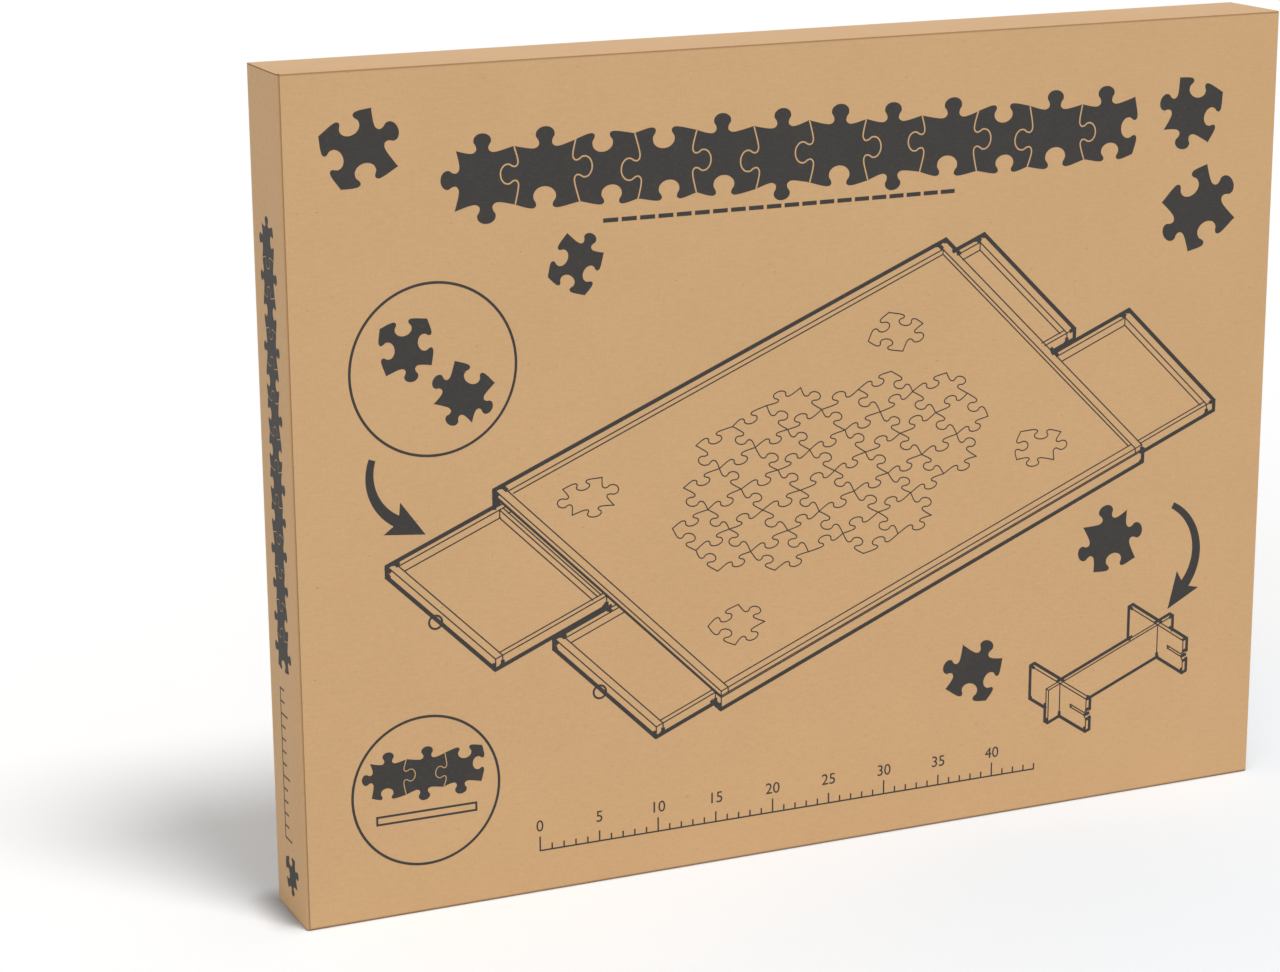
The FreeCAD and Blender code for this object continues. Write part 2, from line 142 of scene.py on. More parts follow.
sun("key", (-0.15, 0.385, -0.88), 1.7, 18)
sun("fill", (0.635, 0.735, -0.22), 1.54, 60)

# %% [markdown]
# ## Nodes
#
# Every finish below is a small tree of shader nodes. Short helpers keep the trees readable: one
# adds a node and sets or links its inputs, and others stand for the nodes that come up most. One
# starts a node group with named inputs and outputs, for an effect that several materials share.

# %% Helpers for single nodes


def put(tree, kind, inputs=None, **settings):
    """Add a shader node. An input given as a socket is linked, and any other is set."""
    made = tree.nodes.new("ShaderNode" + kind)
    for name, value in settings.items():
        setattr(made, name, value)
    for name, value in (inputs or {}).items():
        if isinstance(value, bpy.types.NodeSocket):
            tree.links.new(value, made.inputs[name])
        else:
            made.inputs[name].default_value = value
    return made


def maths(tree, operation, *values):
    """The result of a Math node on up to three values."""
    return put(tree, "Math", dict(enumerate(values)), operation=operation).outputs[0]


def vectors(tree, operation, *values):
    """The result of a Vector Math node: a vector, or a number where it is a length."""
    outputs = put(tree, "VectorMath", dict(enumerate(values)), operation=operation).outputs
    return outputs["Value" if operation == "LENGTH" else "Vector"]


def about_zero(tree, value):
    """A value that varies round a half, moved so that it varies round zero."""
    return maths(tree, "SUBTRACT", value, 0.5)


def weight(tree, value, low, high):
    """A weight that rises from 0 to 1 as a value goes from low to high."""
    inputs = {"Value": value, "From Min": low, "From Max": high}
    return put(tree, "MapRange", inputs, interpolation_type="SMOOTHSTEP").outputs[0]


def falling(tree, value, low, high):
    """A weight that falls from 1 to 0 as a value goes from low to high."""
    return maths(tree, "SUBTRACT", 1, weight(tree, value, low, high))


def mixed(tree, factor, one, other):
    """A colour between two, by a factor."""
    return put(tree, "Mix", {0: factor, 6: one, 7: other}, data_type="RGBA").outputs[2]


def stretched(tree, vector, scale, place=(0, 0, 0)):
    """Coordinates after a scale along each axis and a shift."""
    return put(tree, "Mapping", {"Vector": vector, "Scale": scale, "Location": place}).outputs[0]


def noise(tree, vector, scale, detail):
    """A cloudy value round a half."""
    return put(tree, "TexNoise", {"Vector": vector, "Scale": scale, "Detail": detail}).outputs[0]


# %% Helpers for groups and materials


def shader_group(name, inputs, outputs):
    """An empty node group. Inputs are (name, kind, start value), and outputs (name, kind)."""
    group = bpy.data.node_groups.new(name, "ShaderNodeTree")
    for label, kind, start in inputs:
        socket = group.interface.new_socket(label, in_out="INPUT", socket_type="NodeSocket" + kind)
        if start is not None:
            socket.default_value = start
    for label, kind in outputs:
        group.interface.new_socket(label, in_out="OUTPUT", socket_type="NodeSocket" + kind)
    return group, group.nodes.new("NodeGroupInput").outputs, group.nodes.new("NodeGroupOutput").inputs


def shade(red, green, blue):
    """A colour as the eye reads it, 0 to 255, as the linear numbers that shaders use."""
    seen = np.array([red, green, blue]) / 255
    linear = np.where(seen <= 0.04045, seen / 12.92, ((seen + 0.055) / 1.055) ** 2.4)
    return (*linear.tolist(), 1.0)


def new_material(name, **plain):
    """A material with its tree, its Principled shader and object coordinates."""
    material = bpy.data.materials.new(name)
    material.use_nodes = True
    tree = material.node_tree
    shader = tree.nodes["Principled BSDF"]
    for label, value in plain.items():
        shader.inputs[label.replace("_", " ")].default_value = value
    return material, tree, shader, put(tree, "TexCoord").outputs["Object"]


def finish(tree, shader, colour, height, strength, distance):
    """Link a colour and a relief to a shader."""
    tree.links.new(colour, shader.inputs["Base Color"])
    inputs = {"Height": height, "Strength": strength, "Distance": distance}
    tree.links.new(put(tree, "Bump", inputs).outputs[0], shader.inputs["Normal"])


# %% [markdown]
# ## Floor and background
#
# The floor runs far past the picture, so there is no horizon. The camera sees it nearly white,
# and a softer grey is what it throws back at the box, so that the box isn't lit from below.
# The sky does the same: white to the eye, dimmer as a lamp. Light Path tells the two apart.
# Close to the box the floor is painted a shade cooler and darker, which takes up the warm light off
# the carton, and at the foot of the left end it has a painted contact shadow, where hardly any
# light gets between the two.

# %% The floor and the sky
SKY_LIGHT = 0.4


def seen_directly(tree):
    """1 for a ray from the camera or off a gloss or glass surface, and 0 for diffuse light."""
    path = put(tree, "LightPath").outputs
    glossy = maths(tree, "MAXIMUM", path["Is Glossy Ray"], path["Is Transmission Ray"])
    return maths(tree, "MAXIMUM", path["Is Camera Ray"], glossy)


sky = bpy.data.worlds.new("sky")
scene.world = sky
sky.use_nodes = True
sky_tree = sky.node_tree
strength = maths(sky_tree, "MULTIPLY_ADD", seen_directly(sky_tree), 1 - SKY_LIGHT, SKY_LIGHT)
sky_tree.links.new(strength, sky_tree.nodes["Background"].inputs["Strength"])
sky_tree.nodes["Background"].inputs["Color"].default_value = (1, 1, 1, 1)

floor_paint, tree, shader, place = new_material("floor_paint", Roughness=0.9)
shader.inputs["Specular IOR Level"].default_value = 0.0
# Painted shade: a soft patch round the box where the floor is cooler and darker.
round_box = {"Vector": stretched(tree, place, (1.3, 1.4, 1), (-0.2, 0.2, 0))}
close = put(tree, "TexGradient", round_box, gradient_type="SPHERICAL").outputs["Fac"]
seen_floor = mixed(tree, close, (1, 1, 1, 1), (0.83, 0.89, 0.95, 1))
# A painted contact shadow: the floor darkens to grey within a few centimetres of the left end's foot.
foot_centre, foot_half = (LEFT + 18 * MM, 12 * MM, 0), (18 * MM, 23 * MM, 1)
off_foot = vectors(tree, "ABSOLUTE", vectors(tree, "SUBTRACT", place, foot_centre))
past_foot = vectors(tree, "MAXIMUM", vectors(tree, "SUBTRACT", off_foot, foot_half), (0, 0, 0))
from_foot = vectors(tree, "LENGTH", past_foot)
seen_floor = mixed(tree, weight(tree, from_foot, -0.01, 0.032), (0.4, 0.42, 0.45, 1), seen_floor)
floor_colour = mixed(tree, seen_directly(tree), (0.56, 0.56, 0.56, 1), seen_floor)
tree.links.new(floor_colour, shader.inputs["Base Color"])
floor_mesh = bpy.data.meshes.new("floor")
FLOOR_HALF, FLOOR_BELOW = 40.0, 0.2 * MM
floor_points = np.array([[-1, -1], [1, -1], [1, 1], [-1, 1]]) * FLOOR_HALF
floor_mesh.from_pydata(np.column_stack([floor_points, np.full(4, -FLOOR_BELOW)]), [], [[0, 1, 2, 3]])
floor_mesh.materials.append(floor_paint)
floor = bpy.data.objects.new("floor", floor_mesh)
scene.collection.objects.link(floor)
print("floor", round(2 * FLOOR_HALF), "metres wide")

# %% [markdown]
# ## Paper
#
# Kraft liner is unbleached paper: a warm brown with soft clouds, short pale and dark fibres that
# lie mostly one way, and here and there a darker speck. The same group serves the outer liner,
# the duller fluted sheet and the hardboard, which is pressed from the same kind of fibre.

# %% The paper fibre group
paper, given, result = shader_group(
    "paper_fibres",
    [("Vector", "Vector", None), ("Pale", "Color", None), ("Dark", "Color", None),
     ("Cloud", "Float", 0.3), ("Fibre", "Float", 0.3)],
    [("Colour", "Color"), ("Height", "Float")],
)
clouds = noise(paper, given["Vector"], 14, 4)
long_fibres = noise(paper, stretched(paper, given["Vector"], (0.12, 1, 1)), 900, 3)
cross_fibres = noise(paper, stretched(paper, given["Vector"], (1, 0.2, 0.2)), 1300, 2)
fibres = maths(paper, "MULTIPLY_ADD", cross_fibres, 0.5, maths(paper, "MULTIPLY", long_fibres, 0.5))
specks = weight(paper, noise(paper, stretched(paper, given["Vector"], (0.35, 1, 1)), 620, 1), 0.73, 0.8)
depth = maths(paper, "MULTIPLY_ADD", about_zero(paper, clouds), given["Cloud"], 0.25)
depth = maths(paper, "MULTIPLY_ADD", about_zero(paper, fibres), given["Fibre"], depth)
depth = maths(paper, "MULTIPLY_ADD", specks, 0.5, depth)
paper.links.new(mixed(paper, depth, given["Pale"], given["Dark"]), result["Colour"])
paper.links.new(fibres, result["Height"])

# %% [markdown]
# ## Corrugated board
#
# The liner shows the flutes below it as very faint washboard lines, 6.4 mm apart, and it is
# painted darker along its front folds, a painted shade in the crease. Both follow the sheet round
# its corners, so they read two attributes of the mesh: how far round the sheet a point lies, and
# how near it is to a fold.

# %% Liner and fluted sheet
FLUTE = 6.4 * MM
WAVE_STEP = FLUTE / 12


def paper_colour(tree, place, pale, dark, cloud, fibre):
    """The two outputs of the paper group with these values."""
    inputs = {"Vector": place, "Pale": pale, "Dark": dark, "Cloud": cloud, "Fibre": fibre}
    group = put(tree, "Group", inputs, node_tree=paper)
    return group.outputs["Colour"], group.outputs["Height"]


kraft, tree, shader, place = new_material("kraft_liner", Roughness=0.6, Specular_IOR_Level=0.22)
liner_colour, liner_height = paper_colour(tree, place, shade(216, 177, 131), shade(160, 120, 80), 0.12, 0.5)
girth = put(tree, "Attribute", attribute_name="girth").outputs["Fac"]
flutes = maths(tree, "SINE", maths(tree, "MULTIPLY", girth, 2 * math.pi / FLUTE))
fold = put(tree, "Attribute", attribute_name="fold").outputs["Fac"]
# Painted shade: where the fold attribute is high, the liner's colour darkens towards a deep brown, as shade
# in the crease.
crease_shaded = mixed(tree, maths(tree, "MULTIPLY", fold, 0.75), liner_colour, shade(118, 84, 54))
relief = maths(tree, "MULTIPLY_ADD", flutes, 0.12, liner_height)
finish(tree, shader, crease_shaded, relief, 0.25, 0.15 * MM)

medium, tree, shader, place = new_material("kraft_medium", Roughness=0.9)
medium_colour, medium_height = paper_colour(tree, place, shade(176, 136, 94), shade(120, 86, 54), 0.4, 0.5)
finish(tree, shader, medium_colour, medium_height, 0.3, 0.15 * MM)

# %% [markdown]
# ## Surfaces
#
# Each new piece is a surface worked out with numpy. A ribbon is the simplest: two curves in a
# plane, one for each face of a thin sheet, both carried straight from a start to an end. Its
# four rows of points join up as a ring, so the sheet is closed. Where the curves close on
# themselves the ribbon is a tube, and otherwise two quads close its sides.

# %% Ribbons


def ribbon(front, back, start, end, closed=False):
    """Points and quads of a sheet between two (n, 2) curves, carried from start to end."""
    count = len(front)
    rows = [(start, front), (end, front), (end, back), (start, back)]
    points = np.concatenate(
        [np.column_stack([np.broadcast_to(place, count), curve]) for place, curve in rows]
    )
    column = np.arange(count if closed else count - 1)
    after = (column + 1) % count
    row = np.arange(4)[:, None] * count
    below = (row + count) % (4 * count)
    quads = np.stack([row + column, row + after, below + after, below + column], -1).reshape(-1, 4)
    if not closed:
        side = np.arange(4) * count
        quads = np.concatenate([quads, [side, side + count - 1]])
    return points, quads


def gather(parts):
    """Several (points, faces) pairs as one, with the faces numbered on."""
    offsets = np.cumsum([0] + [len(points) for points, faces in parts[:-1]])
    faces = [row for (points, rows), offset in zip(parts, offsets) for row in (rows + offset).tolist()]
    return np.concatenate([points for points, rows in parts]), faces


# %% Pieces
SHARP_TURN = math.radians(35)


def body_of(node):
    """The name of the body that a CAD node rides on."""
    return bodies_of(frame["nodes"][node])[0]


def link_piece(name, mesh, materials, body, slot):
    """Put a finished mesh in the scene as a piece that rides on a body."""
    for material in materials:
        mesh.materials.append(material)
    piece = bpy.data.objects.new(name, mesh)
    scene.collection.objects.link(piece)
    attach(piece, body)
    return piece


def make_piece(name, points, faces, materials, body, slot, attributes=None, which=None):
    """A piece from arrays, with its faces turned outwards and sharp where they turn far."""
    mesh = bpy.data.meshes.new(name)
    mesh.from_pydata(points, [], faces)
    for label, values in (attributes or {}).items():
        layer = mesh.attributes.new(label, "FLOAT", "POINT")
        layer.data.foreach_set("value", np.ascontiguousarray(values, dtype=np.float32))
    if which is not None:
        mesh.polygons.foreach_set("material_index", np.asarray(which, dtype=np.int32))
    work = bmesh.new()
    work.from_mesh(mesh)
    bmesh.ops.recalc_face_normals(work, faces=work.faces)
    work.to_mesh(mesh)
    work.free()
    mesh.polygons.foreach_set("use_smooth", np.ones(len(mesh.polygons), dtype=bool))
    mesh.set_sharp_from_angle(angle=SHARP_TURN)
    return link_piece(name, mesh, materials, body, slot)


# %% [markdown]
# ## The corrugated sheet
#
# Corrugated board is two flat liners with a wavy sheet glued between them. All three are
# ribbons that lie between the wall's outer and inner curve: a liner keeps to one side, and the
# wave swings from one liner to the other as a sine of the distance along the sheet. The cut
# ends then show the real flutes.

# %% Corrugated walls
LINER, FLUTED_HALF = 0.16, 0.035
SWING = 0.5 - LINER - 0.02
ROWS = 4


def between(outer, inner, share):
    """The curve that lies a share of the way from the wall's outer curve to its inner one."""
    return outer + (inner - outer) * np.reshape(share, (-1, 1))


def distance_along(curve):
    """How far along a curve each of its points lies."""
    steps = np.linalg.norm(np.diff(curve, axis=0), axis=1)
    return np.concatenate([[0], np.cumsum(steps)])


def corrugated(name, outer, inner, start, end, axes, body, closed=False, fold=None):
    """A wall of corrugated board whose flutes run from start to end.

    Axes names the axis of the flutes and then the two of the curves.
    """
    girth = distance_along(outer)
    wave = 0.5 + SWING * np.sin(2 * math.pi * girth / FLUTE)
    layers = [(0, LINER), (wave - FLUTED_HALF, wave + FLUTED_HALF), (1 - LINER, 1)]
    parts = []
    for near, far in layers:
        edges = between(outer, inner, near), between(outer, inner, far)
        parts.append(ribbon(*edges, start, end, closed))
    points, faces = gather(parts)
    points = points[:, [axes.index(axis) for axis in "xyz"]]
    which = np.repeat([0, 1, 0], [len(rows) for spots, rows in parts])
    fold = np.zeros(len(outer)) if fold is None else fold
    rows = ROWS * len(layers)
    attributes = {"girth": np.tile(girth, rows), "fold": np.tile(fold, rows)}
    return make_piece(name, points, faces, [kraft, medium], body, "kraft_corrugated", attributes, which)


def rounded_rectangle(low, high, radius, turns=10):
    """A closed rectangle with round corners, as corner centres plus a radius at each angle."""
    low, high = np.array(low) + radius, np.array(high) - radius
    centres = np.array([[high[0], high[1]], [low[0], high[1]], [low[0], low[1]], [high[0], low[1]]])
    angles = np.linspace(0, math.pi / 2, turns) + np.arange(4)[:, None] * math.pi / 2
    arcs = centres[:, None] + radius * np.stack([np.cos(angles), np.sin(angles)], -1)
    loop = arcs.reshape(-1, 2)
    return np.concatenate([loop, loop[:1]])


def evenly(curve, partner, spacing):
    """Two matching curves, both cut anew at even distances along the first."""
    along = distance_along(curve)
    count = round(along[-1] / spacing)
    spots = np.linspace(0, along[-1], count + 1)
    return [
        np.column_stack([np.interp(spots, along, line[:, i]) for i in (0, 1)])
        for line in (curve, partner)
    ]


# %% [markdown]
# ## The sleeve
#
# One sheet wraps round the front, top, back and bottom, so one closed wall is carried along the
# whole carton. Its folds are tight, little over a millimetre outside and nearly sharp inside.
# It stands back from the CAD front by the thickness of the ink, which comes later. Its front
# starts beside the left end's fold, and its other sides run on nearly to the end.

# %% The wrapped sleeve
WALL = 3 * MM
INK = 0.12 * MM
FOLD_ROUND = 1.3 * MM
CREASE_SHADE_AT, CREASE_SHADE_WIDE = 0.9 * MM, 0.7 * MM
FRONT_START, SIDE_START = 2.5 * MM, 0.2 * MM
outer = rounded_rectangle((FRONT + INK, FOOT), (BACK, TOP), FOLD_ROUND)
inner = rounded_rectangle((FRONT + WALL, FOOT + WALL), (BACK - WALL, TOP - WALL), 0.2 * MM)
outer, inner = evenly(outer, inner, WAVE_STEP)
outer, inner = outer[:-1], inner[:-1]
# Painted shade: a narrow band just off the front's top and bottom folds, which the liner darkens by.
corner = np.minimum(abs(outer[:, 1] - TOP), abs(outer[:, 1] - FOOT))
near_front = outer[:, 0] < FRONT + 0.6 * MM
fold = np.exp(-(((corner - CREASE_SHADE_AT) / CREASE_SHADE_WIDE) ** 2)) * near_front
left_edge = np.where(outer[:, 0] < FRONT + 1 * MM, LEFT + FRONT_START, LEFT + SIDE_START)
sleeve = corrugated("carton_wrap", outer, inner, left_edge, RIGHT, "xyz", "sleeve", closed=True, fold=fold)
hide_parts("front_panel", "back_panel", "top_panel", "bottom_panel")
print("carton_wrap", len(sleeve.data.polygons), "faces")

# %% [markdown]
# ## The left end
#
# The printed end is a flap that turns off the front panel, so its front edge is a soft fold of
# over two millimetres and its other three edges are cut. It covers a second flap off the back
# panel and two short dust flaps. Its flutes lie across the fold, so its washboard lines run
# level, which the girth attribute gives when it holds the height of each point. It stops about a
# millimetre short of the carton's top and foot, which shows as a thin dark seam.

# %% The left flap
END_ROUND, SEAM, BEND_POINTS = 2.2 * MM, 1.1 * MM, 12
turn = np.linspace(-math.pi / 2, -math.pi, BEND_POINTS)
bend = np.column_stack([np.cos(turn), np.sin(turn)]) * END_ROUND
bend += (LEFT + INK + END_ROUND, FRONT + INK + END_ROUND)
back_edge = BACK - 0.6 * MM
outer = np.concatenate([bend, [(LEFT + INK, back_edge)]])
inner_corner = np.tile((LEFT + WALL, FRONT + WALL), (BEND_POINTS, 1))
inner = np.concatenate([inner_corner, [(LEFT + WALL, back_edge)]])
liners = [(0, LINER), (1 - LINER, 1)]
ends = FOOT + SEAM, TOP - SEAM
parts = [ribbon(between(outer, inner, near), between(outer, inner, far), *ends) for near, far in liners]
# A ribbon runs along its first axis, and this one runs along Z.
points, faces = gather(parts)
points = points[:, [1, 2, 0]]
# Painted shade across the bend, darkest where it meets the front face.
fold = np.concatenate([np.linspace(1, 0, BEND_POINTS) ** 1.8, [0]])
attributes = {"girth": points[:, 2], "fold": np.tile(fold, ROWS * len(liners))}
flap = make_piece("left_end_flap", points, faces, [kraft], "sleeve", "kraft_corrugated", attributes)
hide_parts("left_outer_flap")
print("left_end_flap", round((ends[1] - ends[0]) / MM, 1), "mm tall")

# %% The flat flaps


def flat_wall(node, axes):
    """A flat corrugated sheet in a CAD node's place: axes of its flutes, its wave and its wall."""
    low, high = (np.array([corner["xyz".index(axis)] for axis in axes]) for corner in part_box(node))
    wave = np.arange(low[1], high[1], WAVE_STEP)
    wave = np.append(wave, high[1])
    outer = np.column_stack([wave, np.full(len(wave), high[2])])
    inner = np.column_stack([wave, np.full(len(wave), low[2])])
    sheet = corrugated(f"{node}_sheet", outer, inner, low[0], high[0], axes, body_of(node))
    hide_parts(node)
    print(sheet.name, len(wave), "points round its flutes")


for node, axes in {
    "left_inner_flap": "yzx",
    "left_dust_flap_top": "zyx",
    "left_dust_flap_bottom": "zyx",
    "glue_tab": "xyz",
    "cap_flap_front": "xzy",
    "cap_flap_back": "xzy",
    "cap_flap_top": "yxz",
    "cap_flap_bottom": "yxz",
}.items():
    flat_wall(node, axes)

# %% [markdown]
# ## The end cap
#
# The right end is a shallow tray that plugs into the sleeve. Its face has a hand hole with round
# ends. The face is made of rings that all have the same number of points: one round the hole,
# and others round the rim, where the sheet turns back in a fold. Each point of the hole lies on
# the line from the centre to its partner on the rim, so no two lines cross.

# %% Rings of points


def ring_surface(rings):
    """Points and quads of a closed surface through a loop of equal rings, (rings, n, 3)."""
    rings = np.asarray(rings)
    number, count = rings.shape[:2]
    row, column = np.arange(number)[:, None], np.arange(count)
    below, after = (row + 1) % number, (column + 1) % count
    corners = (row, column), (row, after), (below, after), (below, column)
    quads = np.stack([one * count + other for one, other in corners], -1)
    return rings.reshape(-1, 3), quads.reshape(-1, 4)


def in_plane(loop, x):
    """A loop of (y, z) points set at a place along X."""
    return np.column_stack([np.full(len(loop), x), loop])


# %% The hand hole and the rim
(cap_back, cap_left, cap_foot), (cap_face, cap_right, cap_top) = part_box("cap_panel")
centre_z = (cap_foot + cap_top) / 2
HOLE_HALF, HOLE_STRAIGHT = 14 * MM, 31 * MM
CAP_ROUND = 1.5 * MM
LINER_DEEP, FLUTED_THICK = LINER * WALL, 0.2 * MM
rim_loop = rounded_rectangle((cap_left, cap_foot), (cap_right, cap_top), 0.3 * MM)
rim_loop = evenly(rim_loop, rim_loop, 2 * MM)[0][:-1]
off_centre = rim_loop - (0, centre_z)
toward = off_centre / np.linalg.norm(off_centre, axis=1)[:, None]
level = HOLE_HALF / np.maximum(abs(toward[:, 0]), 1e-6)
rounded = HOLE_STRAIGHT * abs(toward[:, 1]) + np.sqrt(
    np.maximum(HOLE_HALF**2 - (HOLE_STRAIGHT * toward[:, 0]) ** 2, 0)
)
hole_reach = np.where(level * abs(toward[:, 1]) <= HOLE_STRAIGHT, level, rounded)
hole_loop = toward * hole_reach[:, None] + (0, centre_z)
print("hand hole", round(2 * (HOLE_HALF + HOLE_STRAIGHT) / MM), "by", round(2 * HOLE_HALF / MM), "mm")

# %% The end cap's face
bend = np.linspace(0, math.pi / 2, 6)


def drawn_in(inset):
    """The rim loop pulled towards the centre line by a distance on each axis."""
    reach = np.array([cap_right - inset, (cap_top - cap_foot) / 2 - inset])
    return np.clip(off_centre, -reach, reach) + (0, centre_z)


def turned_rim(radius):
    """Rings that turn from the face to the side, round the fold's centre line, and run on back."""
    rings = [
        in_plane(drawn_in(CAP_ROUND - radius * math.sin(a)), cap_face - CAP_ROUND + radius * math.cos(a))
        for a in bend
    ]
    return [*rings, in_plane(drawn_in(CAP_ROUND - radius), cap_back)]


thin = CAP_ROUND - LINER_DEEP
face_rings = [in_plane(hole_loop, cap_face), *turned_rim(CAP_ROUND), *turned_rim(thin)[::-1]]
face_rings.append(in_plane(hole_loop, cap_face - LINER_DEEP))
inner_rim = drawn_in(WALL)
back_rings = [
    in_plane(loop, x)
    for loop, x in (
        (hole_loop, cap_back + LINER_DEEP), (inner_rim, cap_back + LINER_DEEP),
        (inner_rim, cap_back), (hole_loop, cap_back),
    )
]
heights = np.arange(cap_foot + WALL, cap_top - WALL, WAVE_STEP)
swing = (cap_back + cap_face) / 2 + SWING * WALL * np.sin(2 * math.pi * heights / FLUTE)
past = np.maximum(abs(heights - centre_z) - HOLE_STRAIGHT, 0)
hole_edge = np.sqrt(np.maximum(HOLE_HALF**2 - past**2, 0))
parts = [ring_surface(face_rings), ring_surface(back_rings)]
for side in (-1, 1):
    wave = np.column_stack([swing, heights])
    strip, quads = ribbon(wave, wave - (FLUTED_THICK, 0), side * hole_edge, side * (cap_right - WALL))
    parts.append((strip[:, [1, 0, 2]], quads))
points, faces = gather(parts)
which = np.repeat([0, 0, 1, 1], [len(rows) for spots, rows in parts])
# Painted shade along the face's front and back folds, at half strength.
on_bend = (points[:, 0] < cap_face - 0.2 * MM) & (points[:, 0] > cap_face - CAP_ROUND - 0.1 * MM)
attributes = {"girth": points[:, 2], "fold": np.where(on_bend & (abs(points[:, 1]) > 30 * MM), 0.5, 0)}
cap = make_piece(
    "end_cap_face", points, faces, [kraft, medium], "end_cap", "kraft_corrugated", attributes, which
)
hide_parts("cap_panel")
print("end_cap_face", len(faces), "faces")

# %% [markdown]
# ## Foam corners
#
# A foam corner is a block with a pocket for one corner of the board. It is built as the skin
# round the filled cells of a coarse grid, whose one empty cell is the pocket, and a Bevel then
# rounds its edges as moulded beads do. The beads themselves are a relief in the material: cells
# about four millimetres across that swell between the fine lines where they meet.

# %% Foam
foam, tree, shader, place = new_material("bead_foam", Roughness=0.75)
shader.inputs["Subsurface Weight"].default_value = 0.15
shader.inputs["Subsurface Radius"].default_value = (0.004, 0.004, 0.004)
inputs = {"Vector": place, "Scale": 260, "Randomness": 0.6}
from_line = put(tree, "TexVoronoi", inputs, feature="DISTANCE_TO_EDGE").outputs["Distance"]
# The fine lines between beads are painted darker, a painted shade in the grooves where beads meet.
foam_colour = mixed(tree, weight(tree, from_line, 0, 0.16), shade(228, 229, 229), shade(245, 245, 243))
dust = maths(tree, "MULTIPLY", weight(tree, noise(tree, place, 9, 3), 0.45, 0.75), 0.25)
foam_colour = mixed(tree, dust, foam_colour, shade(214, 205, 190))
finish(tree, shader, foam_colour, weight(tree, from_line, 0, 0.45), 0.5, 0.5 * MM)

# %% Foam corners


def skin_of_cells(lines, filled):
    """Points and quads round the filled cells of a grid cut by three sets of planes."""
    sizes = [len(line) for line in lines]
    points = np.stack(np.meshgrid(*lines, indexing="ij"), -1).reshape(-1, 3)
    number = np.arange(len(points)).reshape(sizes)
    faces = []
    for axis in range(3):
        change = np.diff(np.pad(filled.astype(int), 1), axis=axis)
        inside = tuple(slice(None) if i == axis else slice(1, -1) for i in range(3))
        spots = np.argwhere(change[inside])
        one, other = (np.eye(3, dtype=int)[i] for i in range(3) if i != axis)
        corners = [spots, spots + one, spots + one + other, spots + other]
        faces.append(np.stack([number[tuple(corner.T)] for corner in corners], -1))
    faces = np.concatenate(faces)
    used, faces = np.unique(faces, return_inverse=True)
    return points[used], faces.reshape(-1, 4)


def soften(piece, radius, segments):
    """A Bevel on the sharp edges."""
    bevel = piece.modifiers.new("softened", "BEVEL")
    bevel.width = radius
    bevel.segments = segments
    bevel.limit_method = "ANGLE"
    bevel.angle_limit = math.radians(40)
    bevel.harden_normals = True


board_low = np.min([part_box(f"rim_{side}")[0] for side in ("left", "right", "top", "bottom")], axis=0)
board_high = np.max([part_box("base_panel")[1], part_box("rim_right")[1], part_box("rim_top")[1]], axis=0)
GAP = 0.3 * MM
for side in ("left", "right"):
    for edge in ("top", "bottom"):
        node = f"{side}_foam_{edge}"
        low, high = (np.array(corner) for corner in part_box(node))
        end = board_low[0] - GAP if side == "left" else board_high[0] + GAP
        shelf = board_low[2] - GAP if edge == "bottom" else board_high[2] + GAP
        lines = [
            np.array([low[0], end, high[0]]),
            np.array([low[1], board_low[1] - GAP, board_high[1] + GAP, high[1]]),
            np.array([low[2], shelf, high[2]]),
        ]
        filled = np.ones((2, 3, 2), dtype=bool)
        filled[1 if side == "left" else 0, 1, 1 if edge == "bottom" else 0] = False
        points, faces = skin_of_cells(lines, filled)
        block = make_piece(f"{node}_block", points, faces.tolist(), [foam], body_of(node), "white_foam")
        soften(block, 2.5 * MM, 3)
        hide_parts(node)
        print(block.name, [round(size / MM) for size in high - low], "mm")

# %% [markdown]
# ## Ink
#
# The carton is printed in one charcoal ink, straight onto the kraft. The ink is modelled as a
# film just over a tenth of a millimetre thick, so that it keeps crisp edges at any distance and
# follows the carton when it is packed or moved. Flexo ink isn't quite even: the fibres show
# through a little, so the colour lifts here and there.

# %% Ink and pages
GOLDEN = 0.618
ink, tree, shader, place = new_material("charcoal_ink", Roughness=0.7, Specular_IOR_Level=0.3)
thin_spots = weight(tree, noise(tree, stretched(tree, place, (0.4, 1, 1)), 700, 3), 0.5, 0.9)
patches = weight(tree, noise(tree, place, 60, 3), 0.4, 0.8)
ink_colour = mixed(tree, maths(tree, "MULTIPLY", patches, 0.3), shade(54, 52, 50), shade(64, 61, 58))
ink_colour = mixed(tree, maths(tree, "MULTIPLY", thin_spots, 0.2), ink_colour, shade(120, 98, 78))
finish(tree, shader, ink_colour, thin_spots, 0.1, 0.1 * MM)


def on_front(page):
    """Page points (right, up, out) in millimetres, with out from 0 to 1, on the front face."""
    return np.column_stack([LEFT + page[:, 0] * MM, FRONT + INK * (1.02 - page[:, 2]), page[:, 1] * MM])


def on_end(page):
    """The same for the narrow left end, whose page starts at the back edge."""
    return np.column_stack([LEFT + INK * (1.02 - page[:, 2]), BACK - page[:, 0] * MM, page[:, 1] * MM])


def filled(loops):
    """Page points and triangles of closed loops filled with ink, with loops inside others left bare."""
    curve = bpy.data.curves.new("ink_shapes", "CURVE")
    curve.dimensions = "2D"
    curve.fill_mode = "BOTH"
    curve.extrude = 0.5
    for loop in loops:
        spline = curve.splines.new("POLY")
        spline.points.add(len(loop) - 1)
        places = np.column_stack([loop, np.zeros(len(loop)), np.ones(len(loop))])
        spline.points.foreach_set("co", places.ravel())
        spline.use_cyclic_u = True
    return flat_mesh(curve)


